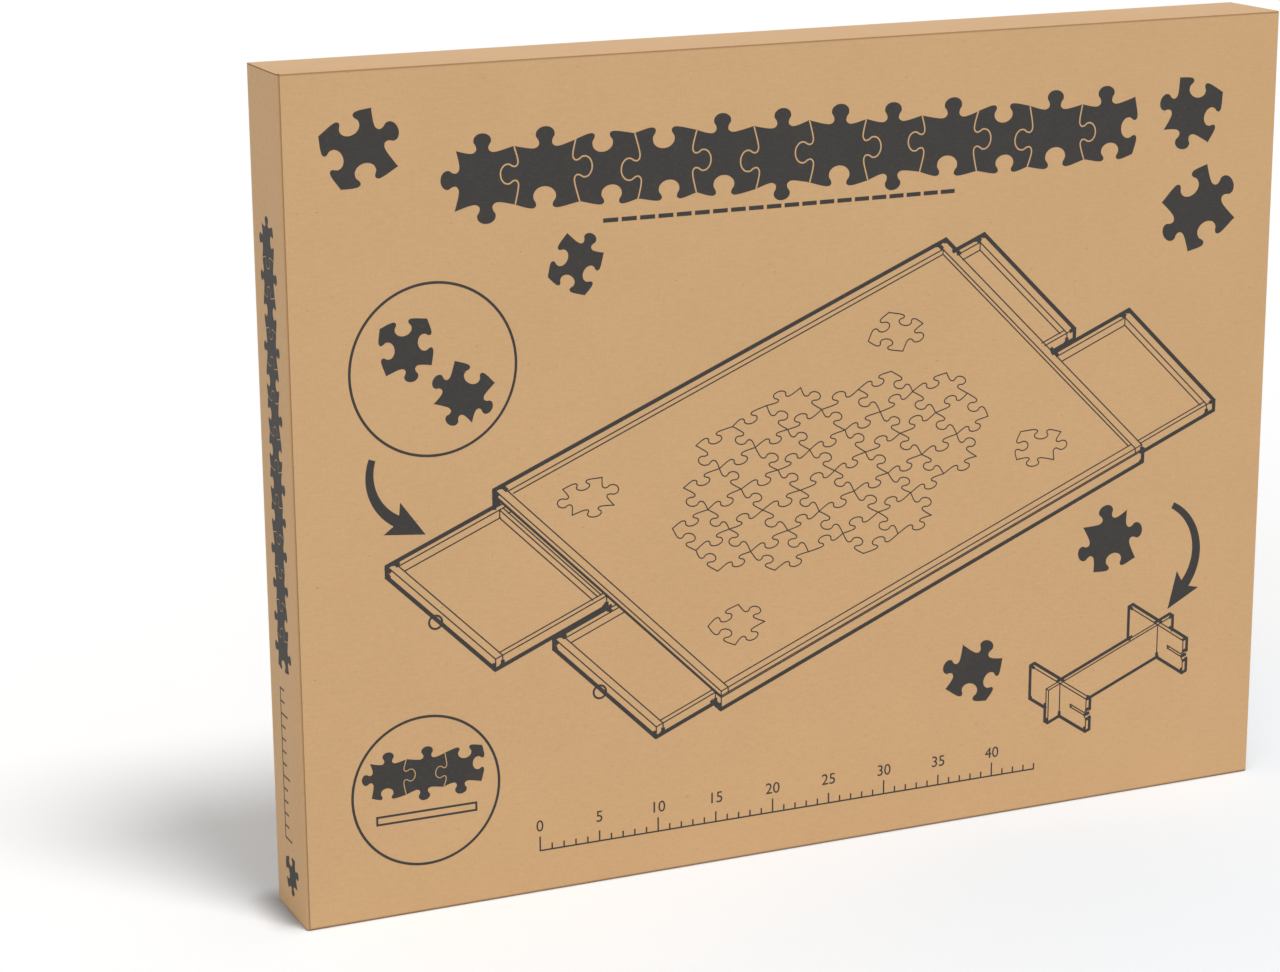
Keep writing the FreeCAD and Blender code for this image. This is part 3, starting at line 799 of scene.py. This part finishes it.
def flat_mesh(curve):
    """The points and triangles of a flat curve or of text, as thick as the ink."""
    holder = bpy.data.objects.new("ink_holder", curve)
    mesh = bpy.data.meshes.new_from_object(holder)
    points = np.empty(len(mesh.vertices) * 3, dtype=np.float32)
    mesh.vertices.foreach_get("co", points)
    mesh.calc_loop_triangles()
    triangles = np.empty(len(mesh.loop_triangles) * 3, dtype=np.int32)
    mesh.loop_triangles.foreach_get("vertices", triangles)
    bpy.data.objects.remove(holder)
    bpy.data.meshes.remove(mesh)
    points = points.reshape(-1, 3).astype(float) + (0, 0, 0.5)
    return points, triangles.reshape(-1, 3)


def bars(lines, width, level=1.0):
    """Page points and quads of straight ink lines, (n, 2, 2), each a little long to close corners.

    Each line's top lies at a height of its own just under the level, by steps of the golden ratio,
    so that lines which cross never share a plane.
    """
    along = lines[:, 1] - lines[:, 0]
    along = along / np.maximum(np.linalg.norm(along, axis=1), 1e-9)[:, None] * width / 2
    side = along[:, ::-1] * (-1, 1)
    start, end = lines[:, 0] - along, lines[:, 1] + along
    corners = np.stack([start - side, end - side, end + side, start + side], 1)
    out = level - 0.12 * (np.arange(len(lines)) * GOLDEN % 1)
    lower = np.concatenate([corners, np.zeros((len(lines), 4, 1))], -1)
    upper = np.concatenate([corners, np.broadcast_to(out[:, None, None], (len(lines), 4, 1))], -1)
    points = np.concatenate([lower, upper], 1).reshape(-1, 3)
    box = [[3, 2, 1, 0], [4, 5, 6, 7], [0, 1, 5, 4], [1, 2, 6, 5], [2, 3, 7, 6], [3, 0, 4, 7]]
    return points, (np.array(box) + np.arange(len(lines))[:, None, None] * 8).reshape(-1, 4)


# %% [markdown]
# ## Jigsaw shapes
#
# The print's motif is the jigsaw piece. A side between two pieces bows one way and then swells
# into a knob the other way, which a dozen points and a smooth line through them give. The sides
# of a whole block of pieces are worked out at once, each between two corners that are a little
# out of place, as a cut die has them. A piece is its own four sides, two of them run backwards.

# %% Jigsaw pieces
HALF_SIDE = np.array([
    [0, 0], [0.12, -0.033], [0.24, -0.062], [0.33, -0.068], [0.382, -0.03],
    [0.375, 0.03], [0.338, 0.09], [0.35, 0.168], [0.415, 0.225], [0.5, 0.243],
])


def smooth(points, steps=3):
    """A line through points. Each stretch blends the four points round it by cubic weights."""
    held = np.concatenate([points[:1], points, points[-1:]])
    one, two, three, four = (held[i : len(held) - 3 + i] for i in range(4))
    t = np.arange(steps)[:, None, None] / steps
    bend, twist = 2 * one - 5 * two + 4 * three - four, 3 * two - one - 3 * three + four
    line = two + 0.5 * ((three - one) * t + bend * t**2 + twist * t**3)
    return np.concatenate([line.transpose(1, 0, 2).reshape(-1, 2), points[-1:]])


def jigsaw(across, down, size, centre, seed, tilt=0.0, gap=0.013):
    """The outlines of a block of interlocked pieces, (pieces, points, 2).

    Every side is the same line, leant a little and set between its corners, with its knob to
    one hand or the other. Each outline is then drawn in along its normals by the gap.
    """
    pick = np.random.default_rng(seed)
    line = smooth(np.concatenate([HALF_SIDE, HALF_SIDE[-2::-1] * (-1, 1) + (1, 0)]))
    grid = np.meshgrid(np.arange(across + 1), np.arange(down + 1), indexing="ij")
    corners = np.stack(grid, -1) + pick.uniform(-0.045, 0.045, (across + 1, down + 1, 2))

    def sides(first, last):
        """Each side's points: a share of the way between its corners, plus a lift square to it."""
        along = (last - first)[:, :, None]
        shape = (*first.shape[:2], 1, 1)
        kind, lean = pick.choice([-1, 1], shape), pick.uniform(-0.06, 0.06, shape)
        share = line[:, :1] + lean * 4 * line[:, :1] * (1 - line[:, :1])
        return first[:, :, None] + along * share + along[..., ::-1] * (1, -1) * line[:, 1:] * kind

    level, upright = sides(corners[:-1], corners[1:]), sides(corners[:, :-1], corners[:, 1:])
    parts = [level[:, :-1, :-1], upright[1:, :, :-1], level[:, 1:, :0:-1], upright[:-1, :, :0:-1]]
    loops = np.concatenate(parts, axis=2).reshape(across * down, -1, 2)
    way = np.roll(loops, -1, axis=1) - np.roll(loops, 1, axis=1)
    way /= np.linalg.norm(way, axis=-1, keepdims=True)
    loops = (loops + way[..., ::-1] * (-gap, gap) - (across / 2, down / 2)) * size
    tilt = math.radians(tilt)
    return loops @ [[math.cos(tilt), math.sin(tilt)], [-math.sin(tilt), math.cos(tilt)]] + centre


# %% [markdown]
# ## A line drawing of the board
#
# The largest print is a drawing of the board with its drawers pulled out and a puzzle half laid.
# It is worked out from the CAD nodes' own boxes, so it always agrees with what is inside. Each
# edge is cut into short steps, and a step is inked only where its line of sight to the viewer
# meets no box. Edges that border on bare paper are inked again with a broader line.

# %% Hidden lines
BESIDE = 3
UNIT = np.array([[x, y, z] for x in (0, 1) for y in (0, 1) for z in (0, 1)])
PAIRS = np.array([(i, j) for i in range(8) for j in range(i) if abs(UNIT[i] - UNIT[j]).sum() == 1])


def box_edges(boxes):
    """The twelve edges of each box, (boxes, 2, 3) to (12 boxes, 2, 3)."""
    corners = boxes[:, :1] + UNIT * (boxes[:, 1:] - boxes[:, :1])
    return corners[:, PAIRS].reshape(-1, 2, 3)


def view_axes(turn, height):
    """Right, up and towards the viewer, for a thing in XY that is seen from an angle and a height."""
    turn, height = math.radians(turn), math.radians(height)
    right = np.array([math.cos(turn), math.sin(turn), 0])
    flat = np.array([math.sin(turn), -math.cos(turn), 0])
    toward = flat * math.cos(height) + np.array([0, 0, math.sin(height)])
    return right, np.cross(toward, right), toward


def meets_box(points, toward, boxes, behind=False):
    """Whether the line of sight from each point runs through a box for more than half a millimetre."""
    reach = (boxes[None] - points[:, None, None]) / toward
    near, far = reach.min(axis=2).max(axis=-1), reach.max(axis=2).min(axis=-1)
    near = near if behind else np.maximum(near, 0)
    return (far - near > 0.5).any(axis=1)


def inked_runs(edges, passes, steps=80):
    """The stretches of the edges whose steps pass a test, as (n, 2, 3) lines."""
    marks = np.linspace(0, 1, steps + 1)[:, None]
    line = edges[:, :1] + (edges[:, 1:] - edges[:, :1]) * marks
    passed = passes(((line[:, 1:] + line[:, :-1]) / 2).reshape(-1, 3)).reshape(-1, steps)
    change = np.diff(np.pad(passed.astype(int), ((0, 0), (1, 1))), axis=1)
    edge, first = np.nonzero(change == 1)
    last = np.nonzero(change == -1)[1]
    return np.stack([line[edge, first], line[edge, last]], 1)


def draw(boxes, edges, axes, shift):
    """The ink of a drawing: thin lines where an edge is seen, broad ones where it borders on paper.

    A broad line is shifted across its edge, towards the side that is bare.
    """
    right, up, toward = axes
    page = np.stack([right, up], -1)

    def bare(points):
        """Where nothing of the drawn thing lies before or behind a point."""
        return ~meets_box(points, toward, boxes, behind=True)

    def seen(points):
        """Where nothing stands between a point and the viewer."""
        return ~meets_box(points, toward, boxes)

    def borders(points):
        """Where a point is seen and one of eight points round it, 3 mm off, is bare paper."""
        turns = np.arange(8) * math.pi / 4
        around = [right * math.cos(turn) + up * math.sin(turn) for turn in turns]
        near = [bare(points + BESIDE * way) for way in around]
        return np.any(near, axis=0) & seen(points)

    outline = inked_runs(edges, borders)
    way = (outline[:, 1] - outline[:, 0]) @ page
    side = way[:, ::-1] * (-1, 1) / np.maximum(np.linalg.norm(way, axis=1), 1e-9)[:, None]
    lift, middle = BESIDE * side @ page.T, outline.mean(axis=1)
    hand = bare(middle + lift).astype(int) - bare(middle - lift)
    return inked_runs(edges, seen) @ page, outline @ page + (side * hand[:, None] * shift)[:, None]


# %% The board's boxes and drawing


def lying(low, high):
    """A box with the standing board's X, Z and -Y as the drawing's X, Y and Z, in millimetres."""
    return np.array([[low[0], low[2], -high[1]], [high[0], high[2], -low[1]]]) / MM


PULLED = {"left_upper": -190, "left_lower": -105, "right_upper": 60, "right_lower": 150}
SIDE_THICK = 8
board_boxes = [
    lying(*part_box(node))
    for node in ("work_panel", "rim_left", "rim_right", "rim_top", "rim_bottom",
                 "apron_top", "apron_bottom", "centre_rail", "base_panel")
]
for drawer, pull in PULLED.items():
    parts = [lying(*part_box(f"{drawer}_drawer_{part}")) for part in ("front", "back", "divider", "floor")]
    sides = lying(*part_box(f"{drawer}_drawer_sides"))
    near_side, far_side = sides.copy(), sides.copy()
    near_side[1, 1] = sides[0, 1] + SIDE_THICK
    far_side[0, 1] = sides[1, 1] - SIDE_THICK
    board_boxes += [part + (pull, 0, 0) for part in (*parts, near_side, far_side)]
board_boxes = np.array(board_boxes)
board_axes = view_axes(-33, 40)
board_page = np.stack(board_axes[:2], -1)
BOARD_SCALE, BOARD_PLACE = 0.575, np.array([432, 300])
fine, outline = draw(board_boxes, box_edges(board_boxes), board_axes, 1.1 / BOARD_SCALE)
print("board drawing", len(fine), "fine and", len(outline), "broad lines")

# %% The puzzle on the board
flat_parts = []


def fitted(lines, scale, centre, drawing):
    """Lines scaled about the middle of the drawing they belong to and set at a place on the page."""
    spots = drawing.reshape(-1, 2)
    middle = (spots.min(axis=0) + spots.max(axis=0)) / 2
    return (lines - middle) * scale + centre


work_top = lying(*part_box("work_panel"))
PIECE = 62.0
middle = work_top.mean(axis=0)[:2]
laid = jigsaw(8, 6, PIECE, middle, seed=4, gap=0)
off_middle = (laid.mean(axis=1) - middle) / (PIECE * 3.6, PIECE * 2.7)
laid = [*laid[(off_middle**2).sum(axis=1) < 1]]
strays = [((235, 190), 25), ((270, -175), -40), ((-300, 205), 70), ((-290, -180), 10)]
for seed, (place, tilt) in enumerate(strays):
    laid += [*jigsaw(1, 1, PIECE, middle + place, seed, tilt, gap=0)]
laid = np.stack(laid)
raised = np.concatenate([laid, np.full((*laid.shape[:2], 1), work_top[1, 2] + 1)], -1)
laid_lines = np.stack([raised, np.roll(raised, -1, axis=1)], 2).reshape(-1, 2, 3)
laid_lines = laid_lines[np.unique(laid_lines.mean(axis=1).round(2), axis=0, return_index=True)[1]]
clear = ~meets_box(laid_lines.mean(axis=1), board_axes[2], board_boxes)
laid_lines = laid_lines[clear] @ board_page
for lines, width, level in ((fine, 1.0, 0.7), (outline, 3.2, 0.9), (laid_lines, 0.9, 0.5)):
    flat_parts.append(bars(fitted(lines, BOARD_SCALE, BOARD_PLACE, fine), width, level))
print("half laid puzzle of", len(laid), "pieces")

# %% The drawn knobs


def arc(centre, radius, start, end, count):
    """Points along an arc of a circle."""
    turn = np.linspace(start, end, count)
    return np.column_stack([centre[0] + radius * np.cos(turn), centre[1] + radius * np.sin(turn)])


knob_rings = []
for drawer in ("left_upper", "left_lower"):
    knob = lying(*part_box(f"{drawer}_drawer_knob")).mean(axis=0) + (PULLED[drawer] - 3, 0, 0)
    seat = fitted((knob @ board_page)[None], BOARD_SCALE, BOARD_PLACE, fine)[0]
    knob_rings += [arc(seat, 6.0, 0, 6.2, 32), arc(seat, 4.4, 0, 6.2, 32)]
flat_parts.append(filled(knob_rings))

# %% [markdown]
# ## The rest of the front
#
# Round the drawing lie the stand, drawn the same way, a band of interlocked pieces, two ringed
# pictures, arrows, loose pieces and a centimetre scale with plain numbers. A curve object fills
# outlines, and it leaves a loop inside another bare, which makes rings without any extra work.

# %% The stand's drawing
ARM_HALF, RAIL_HALF, TALL, SHEET = 70, 120, 52, 6
SLOT_END, SLOT_LOW, SLOT_HIGH = 30, 23.8, 28.2
LEAD_START, LEAD_LOW, LEAD_HIGH = 66, 18, 34
STAND_SCALE, STAND_PLACE = 0.62, (700, 112)


def plate_edges(loop, low, high):
    """The edges of a plate cut to a loop in XZ, between two places along Y."""
    near, far = (np.insert(loop, 1, place, axis=1) for place in (low, high))
    pairs = [(near, np.roll(near, -1, axis=0)), (far, np.roll(far, -1, axis=0)), (near, far)]
    return np.concatenate([np.stack(pair, 1) for pair in pairs])


arm_loop = np.array([
    [-ARM_HALF, 0], [ARM_HALF, 0],
    [ARM_HALF, LEAD_LOW], [LEAD_START, SLOT_LOW], [SLOT_END, SLOT_LOW],
    [SLOT_END, SLOT_HIGH], [LEAD_START, SLOT_HIGH], [ARM_HALF, LEAD_HIGH],
    [ARM_HALF, TALL], [-ARM_HALF, TALL],
], dtype=float)
stand_boxes, stand_edges = [], []
for near in (-98, 92):
    far = near + SHEET
    stand_boxes += [
        [[-ARM_HALF, near, 0], [SLOT_END, far, TALL]],
        [[SLOT_END, near, 0], [ARM_HALF, far, SLOT_LOW]],
        [[SLOT_END, near, SLOT_HIGH], [ARM_HALF, far, TALL]],
    ]
    crossing = np.array([[[-SHEET / 2, near, 0], [SHEET / 2, far, TALL]]])
    stand_edges += [plate_edges(arm_loop, near, far), box_edges(crossing)]
rail_box = np.array([[[-SHEET / 2, -RAIL_HALF, 0], [SHEET / 2, RAIL_HALF, TALL]]])
stand_edges = np.concatenate([*stand_edges, box_edges(rail_box)])
stand_boxes = np.concatenate([np.array(stand_boxes, dtype=float), rail_box])
stand_lines, stand_outline = draw(stand_boxes, stand_edges, view_axes(52, 32), 0.8 / STAND_SCALE)
for lines, width, level in ((stand_lines, 1.0, 0.7), (stand_outline, 2.6, 0.9)):
    flat_parts.append(bars(fitted(lines, STAND_SCALE, STAND_PLACE, stand_lines), width, level))
print("stand drawing", len(stand_lines), "fine and", len(stand_outline), "broad lines")

# %% The band, the rings and the loose pieces


def ring(centre, radius, width):
    """The two loops of a plain ring."""
    return [arc(centre, reach, 0, 2 * math.pi, 160)[:-1] for reach in (radius, radius - width)]


def arrow(centre, radius, start, end, width=9.0, head=26.0):
    """A bent arrow: a stroke round a centre that broadens, with a barbed head at its end."""
    turn = np.radians(np.linspace(start, end, 30))[:, None]
    ray = np.column_stack([np.cos(turn), np.sin(turn)])
    half = np.linspace(0.3, 0.5, 30)[:, None] * width
    way = np.array([-ray[-1, 1], ray[-1, 0]]) * np.sign(end - start)
    tip = ray[-1] * radius + way * head
    barbs = [ray[-1] * (radius + head * 0.52) - way * 4, tip, ray[-1] * (radius - head * 0.52) - way * 4]
    return np.concatenate([ray * (radius + half), barbs, (ray * (radius - half))[::-1]]) + centre


shapes = ring((112, 424), 66, 2.0) + ring((98, 98), 60, 2.0)
shapes += [arrow((100, 347), 40, 160, 240), arrow((735, 205), 46, 62, -38)]
shapes += [*jigsaw(12, 1, 48, (420, 563), seed=11), *jigsaw(3, 1, 30, (98, 112), seed=5)]
loose = [
    (46, (58, 590), 20), (44, (762, 572), -18), (50, (770, 492), 32), (36, (226, 492), -28),
    (42, (696, 222), 12), (42, (572, 126), -24), (36, (92, 442), 8), (36, (136, 404), -30),
]
for seed, (size, centre, tilt) in enumerate(loose, start=47):
    shapes += [*jigsaw(1, 1, size, centre, seed, tilt)]
flat_parts.append(filled(shapes))
print(len(shapes), "filled shapes")

# %% The scale and the small rules
dashes = np.array([[[250 + 15 * i, 524], [259 + 15 * i, 524]] for i in range(20)], dtype=float)
flat_parts.append(bars(dashes, 3.2))
tray = np.array([[58, 82], [138, 82], [138, 76], [58, 76]], dtype=float)
flat_parts.append(bars(np.stack([tray, np.roll(tray, -1, axis=0)], 1), 1.6))
SCALE_START, SCALE_LINE, SCALE_LONG, CENTIMETRE = 190, 34, 44, 10
ticks = np.arange(SCALE_LONG + 1)
tall = np.where(ticks % 10 == 0, 11, np.where(ticks % 5 == 0, 8, 4.5))
foot = np.column_stack([SCALE_START + CENTIMETRE * ticks, np.full(len(ticks), SCALE_LINE)])
tick_lines = np.stack([foot, foot + np.column_stack([np.zeros(len(ticks)), tall])], 1)
flat_parts.append(bars(np.concatenate([tick_lines, foot[None, [0, -1]]]), 1.2))


def number(value, size, centre):
    """A plain number set on the page, as points and triangles."""
    text = bpy.data.curves.new("number", "FONT")
    text.body = str(value)
    text.size = size
    text.align_x = "CENTER"
    text.extrude = 0.5
    points, triangles = flat_mesh(text)
    return points + (*centre, 0), triangles


for value in range(0, SCALE_LONG + 1, 5):
    flat_parts.append(number(value, 13, (SCALE_START + CENTIMETRE * value, SCALE_LINE + 16)))


def print_piece(name, parts, page_to_place):
    """One ink piece from page parts, laid on a face of the carton."""
    points, faces = gather(parts)
    make_piece(name, page_to_place(points), faces, [ink], "sleeve", "kraft_corrugated")
    print(name, len(faces), "faces")


print_piece("front_print", flat_parts, on_front)

# %% The narrow end's print
end_shapes = [*jigsaw(1, 13, 26, (35, 366), seed=8), *jigsaw(1, 1, 24, (36, 34), seed=3, tilt=12)]
RUNGS = 13
rungs = np.arange(RUNGS)
rung_long = np.where(rungs % 5 == 0, 15, 9)
rung_foot = np.column_stack([np.full(RUNGS, 24.0), 60.0 + CENTIMETRE * rungs])
rung_lines = np.stack([rung_foot, rung_foot + np.column_stack([rung_long, np.zeros(RUNGS)])], 1)
spine = np.array([[[24, 60], [24, 180]]], dtype=float)
print_piece("end_print", [filled(end_shapes), bars(np.concatenate([rung_lines, spine]), 1.4)], on_end)

# %% [markdown]
# ## Wood
#
# Grain is the same idea in every board: rings round a pith that lies outside the piece, bent a
# little, with fine pores drawn out along the trunk. The group takes coordinates whose Z axis is
# the trunk, and each material turns them to suit its boards. Veneer for plywood is peeled off a
# turning trunk, so it cuts the rings at a slant and shows broad flames, not lines: there the
# slow drift counts for everything. Pine also has a few pin knots, which push the rings apart.

# %% The wood grain group
grain, given, result = shader_group(
    "wood_grain",
    [("Vector", "Vector", None), ("Early", "Color", None), ("Late", "Color", None),
     ("Rings", "Float", 60.0), ("Flame", "Float", 10.0), ("Knots", "Float", 0.0), ("Pores", "Float", 0.3)],
    [("Colour", "Color"), ("Height", "Float")],
)
drift = noise(grain, stretched(grain, given["Vector"], (6, 6, 0.9)), 1, 2)
away = vectors(grain, "ADD", given["Vector"], (0.09, 0.05, 0))
radius = vectors(grain, "LENGTH", stretched(grain, away, (1, 1, 0.02)))
spots = stretched(grain, given["Vector"], (1, 1, 0.5))
knot = put(grain, "TexVoronoi", {"Vector": spots, "Scale": 11}).outputs["Distance"]
swirl = maths(grain, "MULTIPLY", falling(grain, knot, 0, 0.3), given["Knots"])
flames = maths(grain, "MULTIPLY", drift, given["Flame"])
wander = maths(grain, "MULTIPLY_ADD", radius, given["Rings"], flames)
ring_place = maths(grain, "FRACT", maths(grain, "MULTIPLY_ADD", swirl, 2.5, wander))
fall = falling(grain, ring_place, 0.88, 1)
late = maths(grain, "MULTIPLY", weight(grain, ring_place, 0.25, 0.9), fall)
pores = noise(grain, stretched(grain, given["Vector"], (1, 1, 0.02)), 1500, 3)
streaks = noise(grain, stretched(grain, given["Vector"], (1, 1, 0.03)), 130, 3)
amount = maths(grain, "MULTIPLY", maths(grain, "ADD", late, about_zero(grain, streaks)), 0.55)
amount = maths(grain, "MULTIPLY_ADD", about_zero(grain, pores), given["Pores"], amount)
amount = maths(grain, "MULTIPLY_ADD", about_zero(grain, drift), 0.5, amount)
toned = mixed(grain, amount, given["Early"], given["Late"])
knotty = maths(grain, "MULTIPLY", falling(grain, knot, 0.03, 0.06), given["Knots"])
knotted = mixed(grain, maths(grain, "MULTIPLY", knotty, 0.7), toned, shade(112, 66, 34))
grain.links.new(knotted, result["Colour"])
grain.links.new(maths(grain, "MULTIPLY_ADD", late, 0.3, pores), result["Height"])

# %% [markdown]
# ## Ply edges
#
# Sawn plywood shows its veneers as stripes on the edges, and only there. The group looks at the
# direction a face points in: across the sheet it leaves the colour alone, and along the sheet it
# darkens every second layer.

# %% The ply edge group
ply, given, result = shader_group(
    "ply_edge",
    [("Vector", "Vector", None), ("Normal", "Vector", None), ("Layer", "Float", 1.0)],
    [("Edge", "Float")],
)
across = put(ply, "SeparateXYZ", {0: given["Vector"]}).outputs["Y"]
facing = maths(ply, "ABSOLUTE", put(ply, "SeparateXYZ", {0: given["Normal"]}).outputs["Y"])
stripe = maths(ply, "PINGPONG", across, given["Layer"])
dark_layer = weight(ply, maths(ply, "DIVIDE", stripe, given["Layer"]), 0.4, 0.6)
ply.links.new(maths(ply, "MULTIPLY", dark_layer, maths(ply, "LESS_THAN", facing, 0.5)), result["Edge"])

# %% Wood materials
TURNS = {"x": (0, math.pi / 2, 0), "z": (0, 0, 0)}


def wood(name, axis, values, layer=None, **plain):
    """A wood with its trunk along an axis, and with ply edges where it has layers.

    Every board is cut from another spot of the trunk: its place plus a shift by its own number.
    """
    material, tree, shader, place = new_material(f"{name}_{axis}", **plain)
    cut = put(tree, "Attribute", attribute_name="cut").outputs["Fac"]
    moved = vectors(tree, "MULTIPLY_ADD", cut, (0.31, 0.17, 0.9), place)
    turned = put(tree, "Mapping", {"Vector": moved, "Rotation": TURNS[axis]}).outputs[0]
    group = put(tree, "Group", {"Vector": turned, **values}, node_tree=grain)
    colour = group.outputs["Colour"]
    if layer:
        inputs = {"Vector": place, "Normal": put(tree, "TexCoord").outputs["Normal"], "Layer": layer}
        edge = put(tree, "Group", inputs, node_tree=ply).outputs["Edge"]
        colour = mixed(tree, maths(tree, "MULTIPLY", edge, 0.7), colour, shade(150, 108, 66))
    finish(tree, shader, colour, group.outputs["Height"], 0.2, 0.1 * MM)
    return material


PINE = {
    "Early": shade(228, 193, 143), "Late": shade(188, 136, 82),
    "Rings": 230, "Flame": 12, "Knots": 1.0, "Pores": 0.4,
}
VENEER = {
    "Early": shade(229, 202, 160), "Late": shade(203, 165, 116),
    "Rings": 4, "Flame": 24, "Pores": 0.7,
}
BEECH = {
    "Early": shade(214, 170, 124), "Late": shade(186, 134, 90),
    "Rings": 420, "Flame": 20, "Pores": 0.8,
}
LOOKS = {}
for axis in "xz":
    LOOKS["pine", axis] = wood("pine", axis, PINE, Roughness=0.45)
    LOOKS["plywood", axis] = wood("plywood", axis, VENEER, layer=1.5 * MM, Roughness=0.5)
LOOKS["turned_beech", "x"] = wood("beech", "x", BEECH, Roughness=0.32)

hardboard, tree, shader, place = new_material("hardboard", Roughness=0.6)
board_colour, board_height = paper_colour(tree, place, shade(152, 112, 76), shade(104, 72, 46), 0.5, 1.2)
finish(tree, shader, board_colour, board_height, 0.3, 0.1 * MM)
LOOKS["hardboard", "x"] = LOOKS["hardboard", "z"] = hardboard
print(len(LOOKS), "looks of wood")

# %% [markdown]
# ## Boards with eased edges
#
# The CAD boards already have the right shape, but their edges are knife sharp, and real ones are
# sanded. A copy of each node is merged, its flat triangles are joined, and a Bevel of under half
# a millimetre catches the light along every edge. The grain runs along the longer way.

# %% Eased copies of the wooden nodes
slot_of = {part["node"]: part["material_slot"] for part in frame["record"]["subparts"]}


def eased(node, cut, radius=0.4 * MM):
    """A copy of a CAD node with softly sanded edges, in its material, with its number as cut."""
    mesh = frame["nodes"][node].data.copy()
    mesh.name = f"{node}_eased"
    mesh.materials.clear()
    work = bmesh.new()
    work.from_mesh(mesh)
    bmesh.ops.remove_doubles(work, verts=work.verts, dist=1e-6)
    bmesh.ops.dissolve_limit(work, angle_limit=math.radians(1), verts=work.verts, edges=work.edges)
    work.to_mesh(mesh)
    work.free()
    number = mesh.attributes.new("cut", "FLOAT", "POINT")
    number.data.foreach_set("value", np.full(len(mesh.vertices), cut, dtype=np.float32))
    low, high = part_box(node)
    axis = "x" if high[0] - low[0] > high[2] - low[2] else "z"
    look = LOOKS[slot_of[node], axis]
    piece = link_piece(f"{node}_eased", mesh, [look], body_of(node), slot_of[node])
    soften(piece, radius, 2)
    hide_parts(node)


wooden = [node for node, slot in slot_of.items() if slot in ("pine", "plywood", "hardboard")]
for count, node in enumerate(wooden):
    eased(node, count * GOLDEN % 1)
print(len(wooden), "boards eased")

# %% [markdown]
# ## Knobs
#
# A knob is turned on a lathe, so it is a profile of radius against distance from the drawer
# front, spun round its axis: a thin collar, a neck that swells out in a hollow curve, and a
# flattened ball. The three join in one profile, and the screws share its helper for rings of
# points. A screw's head has a cross cut into it, which its rings carry as a change of height.

# %% Turned pieces
ROUND = 48
angle = np.linspace(0, 2 * math.pi, ROUND, endpoint=False)


def turned_rings(profile, centre, out):
    """A ring of points for each (radius, distance) of a profile, round a line along X."""
    radius, reach = profile[:, :1], profile[:, 1:]
    x = centre[0] + out * np.broadcast_to(reach, (len(profile), ROUND))
    return np.stack([x, centre[1] + radius * np.cos(angle), centre[2] + radius * np.sin(angle)], -1)


def capped(rings):
    """Points and faces through a row of rings, with a flat face over each end."""
    points, quads = ring_surface(rings)
    last = (len(rings) - 1) * ROUND
    return points, [*quads[:last].tolist(), list(range(ROUND)), list(range(last, last + ROUND))]


# %% The knob's profile
swell = np.linspace(0, 1, 12)
neck = np.column_stack([4.6 + 2.6 * swell**2.2, 1.5 + 6.2 * swell])
ball_turn = np.linspace(math.radians(-42), math.radians(88), 20)
ball = np.column_stack([9.5 * np.cos(ball_turn), 11.5 + 5.5 * np.sin(ball_turn)])
collar = np.array([[5.6, 0], [6.6, 0.05], [7, 0.35], [7, 1.1], [6.7, 1.42], [6, 1.5], [5, 1.5]])
knob_profile = np.concatenate([collar, neck, ball]) * MM
print("knob", round(knob_profile[:, 1].max() / MM, 1), "mm long")

# %% The screw
HEAD_RADIUS, HEAD_TALL, SHANK_RADIUS, SHANK_LONG = 3.5, 2, 1.75, 21
CROSS_HALF, CROSS_LONG, CROSS_DEEP, CROSS_SLOPE = 0.35, 1.7, 1.1, 0.12
zinc, tree, shader, place = new_material("zinc_steel", Roughness=0.35, Metallic=1.0)
plating = noise(tree, place, 700, 3)
zinc_colour = mixed(tree, plating, shade(196, 198, 202), shade(176, 176, 176))
finish(tree, shader, zinc_colour, plating, 0.15, 0.05 * MM)


def screw_rings(centre, out):
    """Rings of a pan head and its shank.

    The head is a dome, less a cross that is as deep as a point lies inside one of its two arms.
    """
    radius = np.linspace(0.02, HEAD_RADIUS, 20)[:, None]
    y, z = radius * np.cos(angle), radius * np.sin(angle)
    short, long = np.minimum(abs(y), abs(z)), np.maximum(abs(y), abs(z))
    outside = np.maximum(short - CROSS_HALF, long - CROSS_LONG)
    dome = HEAD_TALL * np.sqrt(np.clip(1 - (radius / (HEAD_RADIUS + 0.1)) ** 4, 0, 1))
    height = dome - CROSS_DEEP * np.clip(-outside / CROSS_SLOPE, 0, 1)
    head = np.stack([centre[0] - out * height * MM, centre[1] + y * MM, centre[2] + z * MM], -1)
    shank = np.array([[HEAD_RADIUS, 0], [SHANK_RADIUS, 0], [SHANK_RADIUS, SHANK_LONG]]) * MM
    return np.concatenate([head, turned_rings(shank, centre, out)])


# %% Knobs and screws in place
SCREW_BACK = 12 * MM
for side, out in (("left", -1), ("right", 1)):
    for level in ("upper", "lower"):
        name = f"{side}_{level}_drawer"
        low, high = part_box(f"{name}_knob")
        seat = low.x if out > 0 else high.x
        centre = (seat, (low.y + high.y) / 2, (low.z + high.z) / 2)
        points, faces = capped(turned_rings(knob_profile, centre, out))
        knob = make_piece(
            f"{name}_turned_knob", points, faces, [LOOKS["turned_beech", "x"]], name, "turned_beech"
        )
        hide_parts(f"{name}_knob")
        points, faces = capped(screw_rings((seat - out * SCREW_BACK, centre[1], centre[2]), out))
        screw = make_piece(f"{name}_cross_screw", points, faces, [zinc], name, "zinc_steel")
        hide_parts(f"{name}_knob_screw")
        print(knob.name, screw.name)

# %% [markdown]
# ## Sizes
#
# The dressed model is built to stay inside the CAD box, and the CAD box is printed here.

# %% The CAD box
print("cad", cad_box)
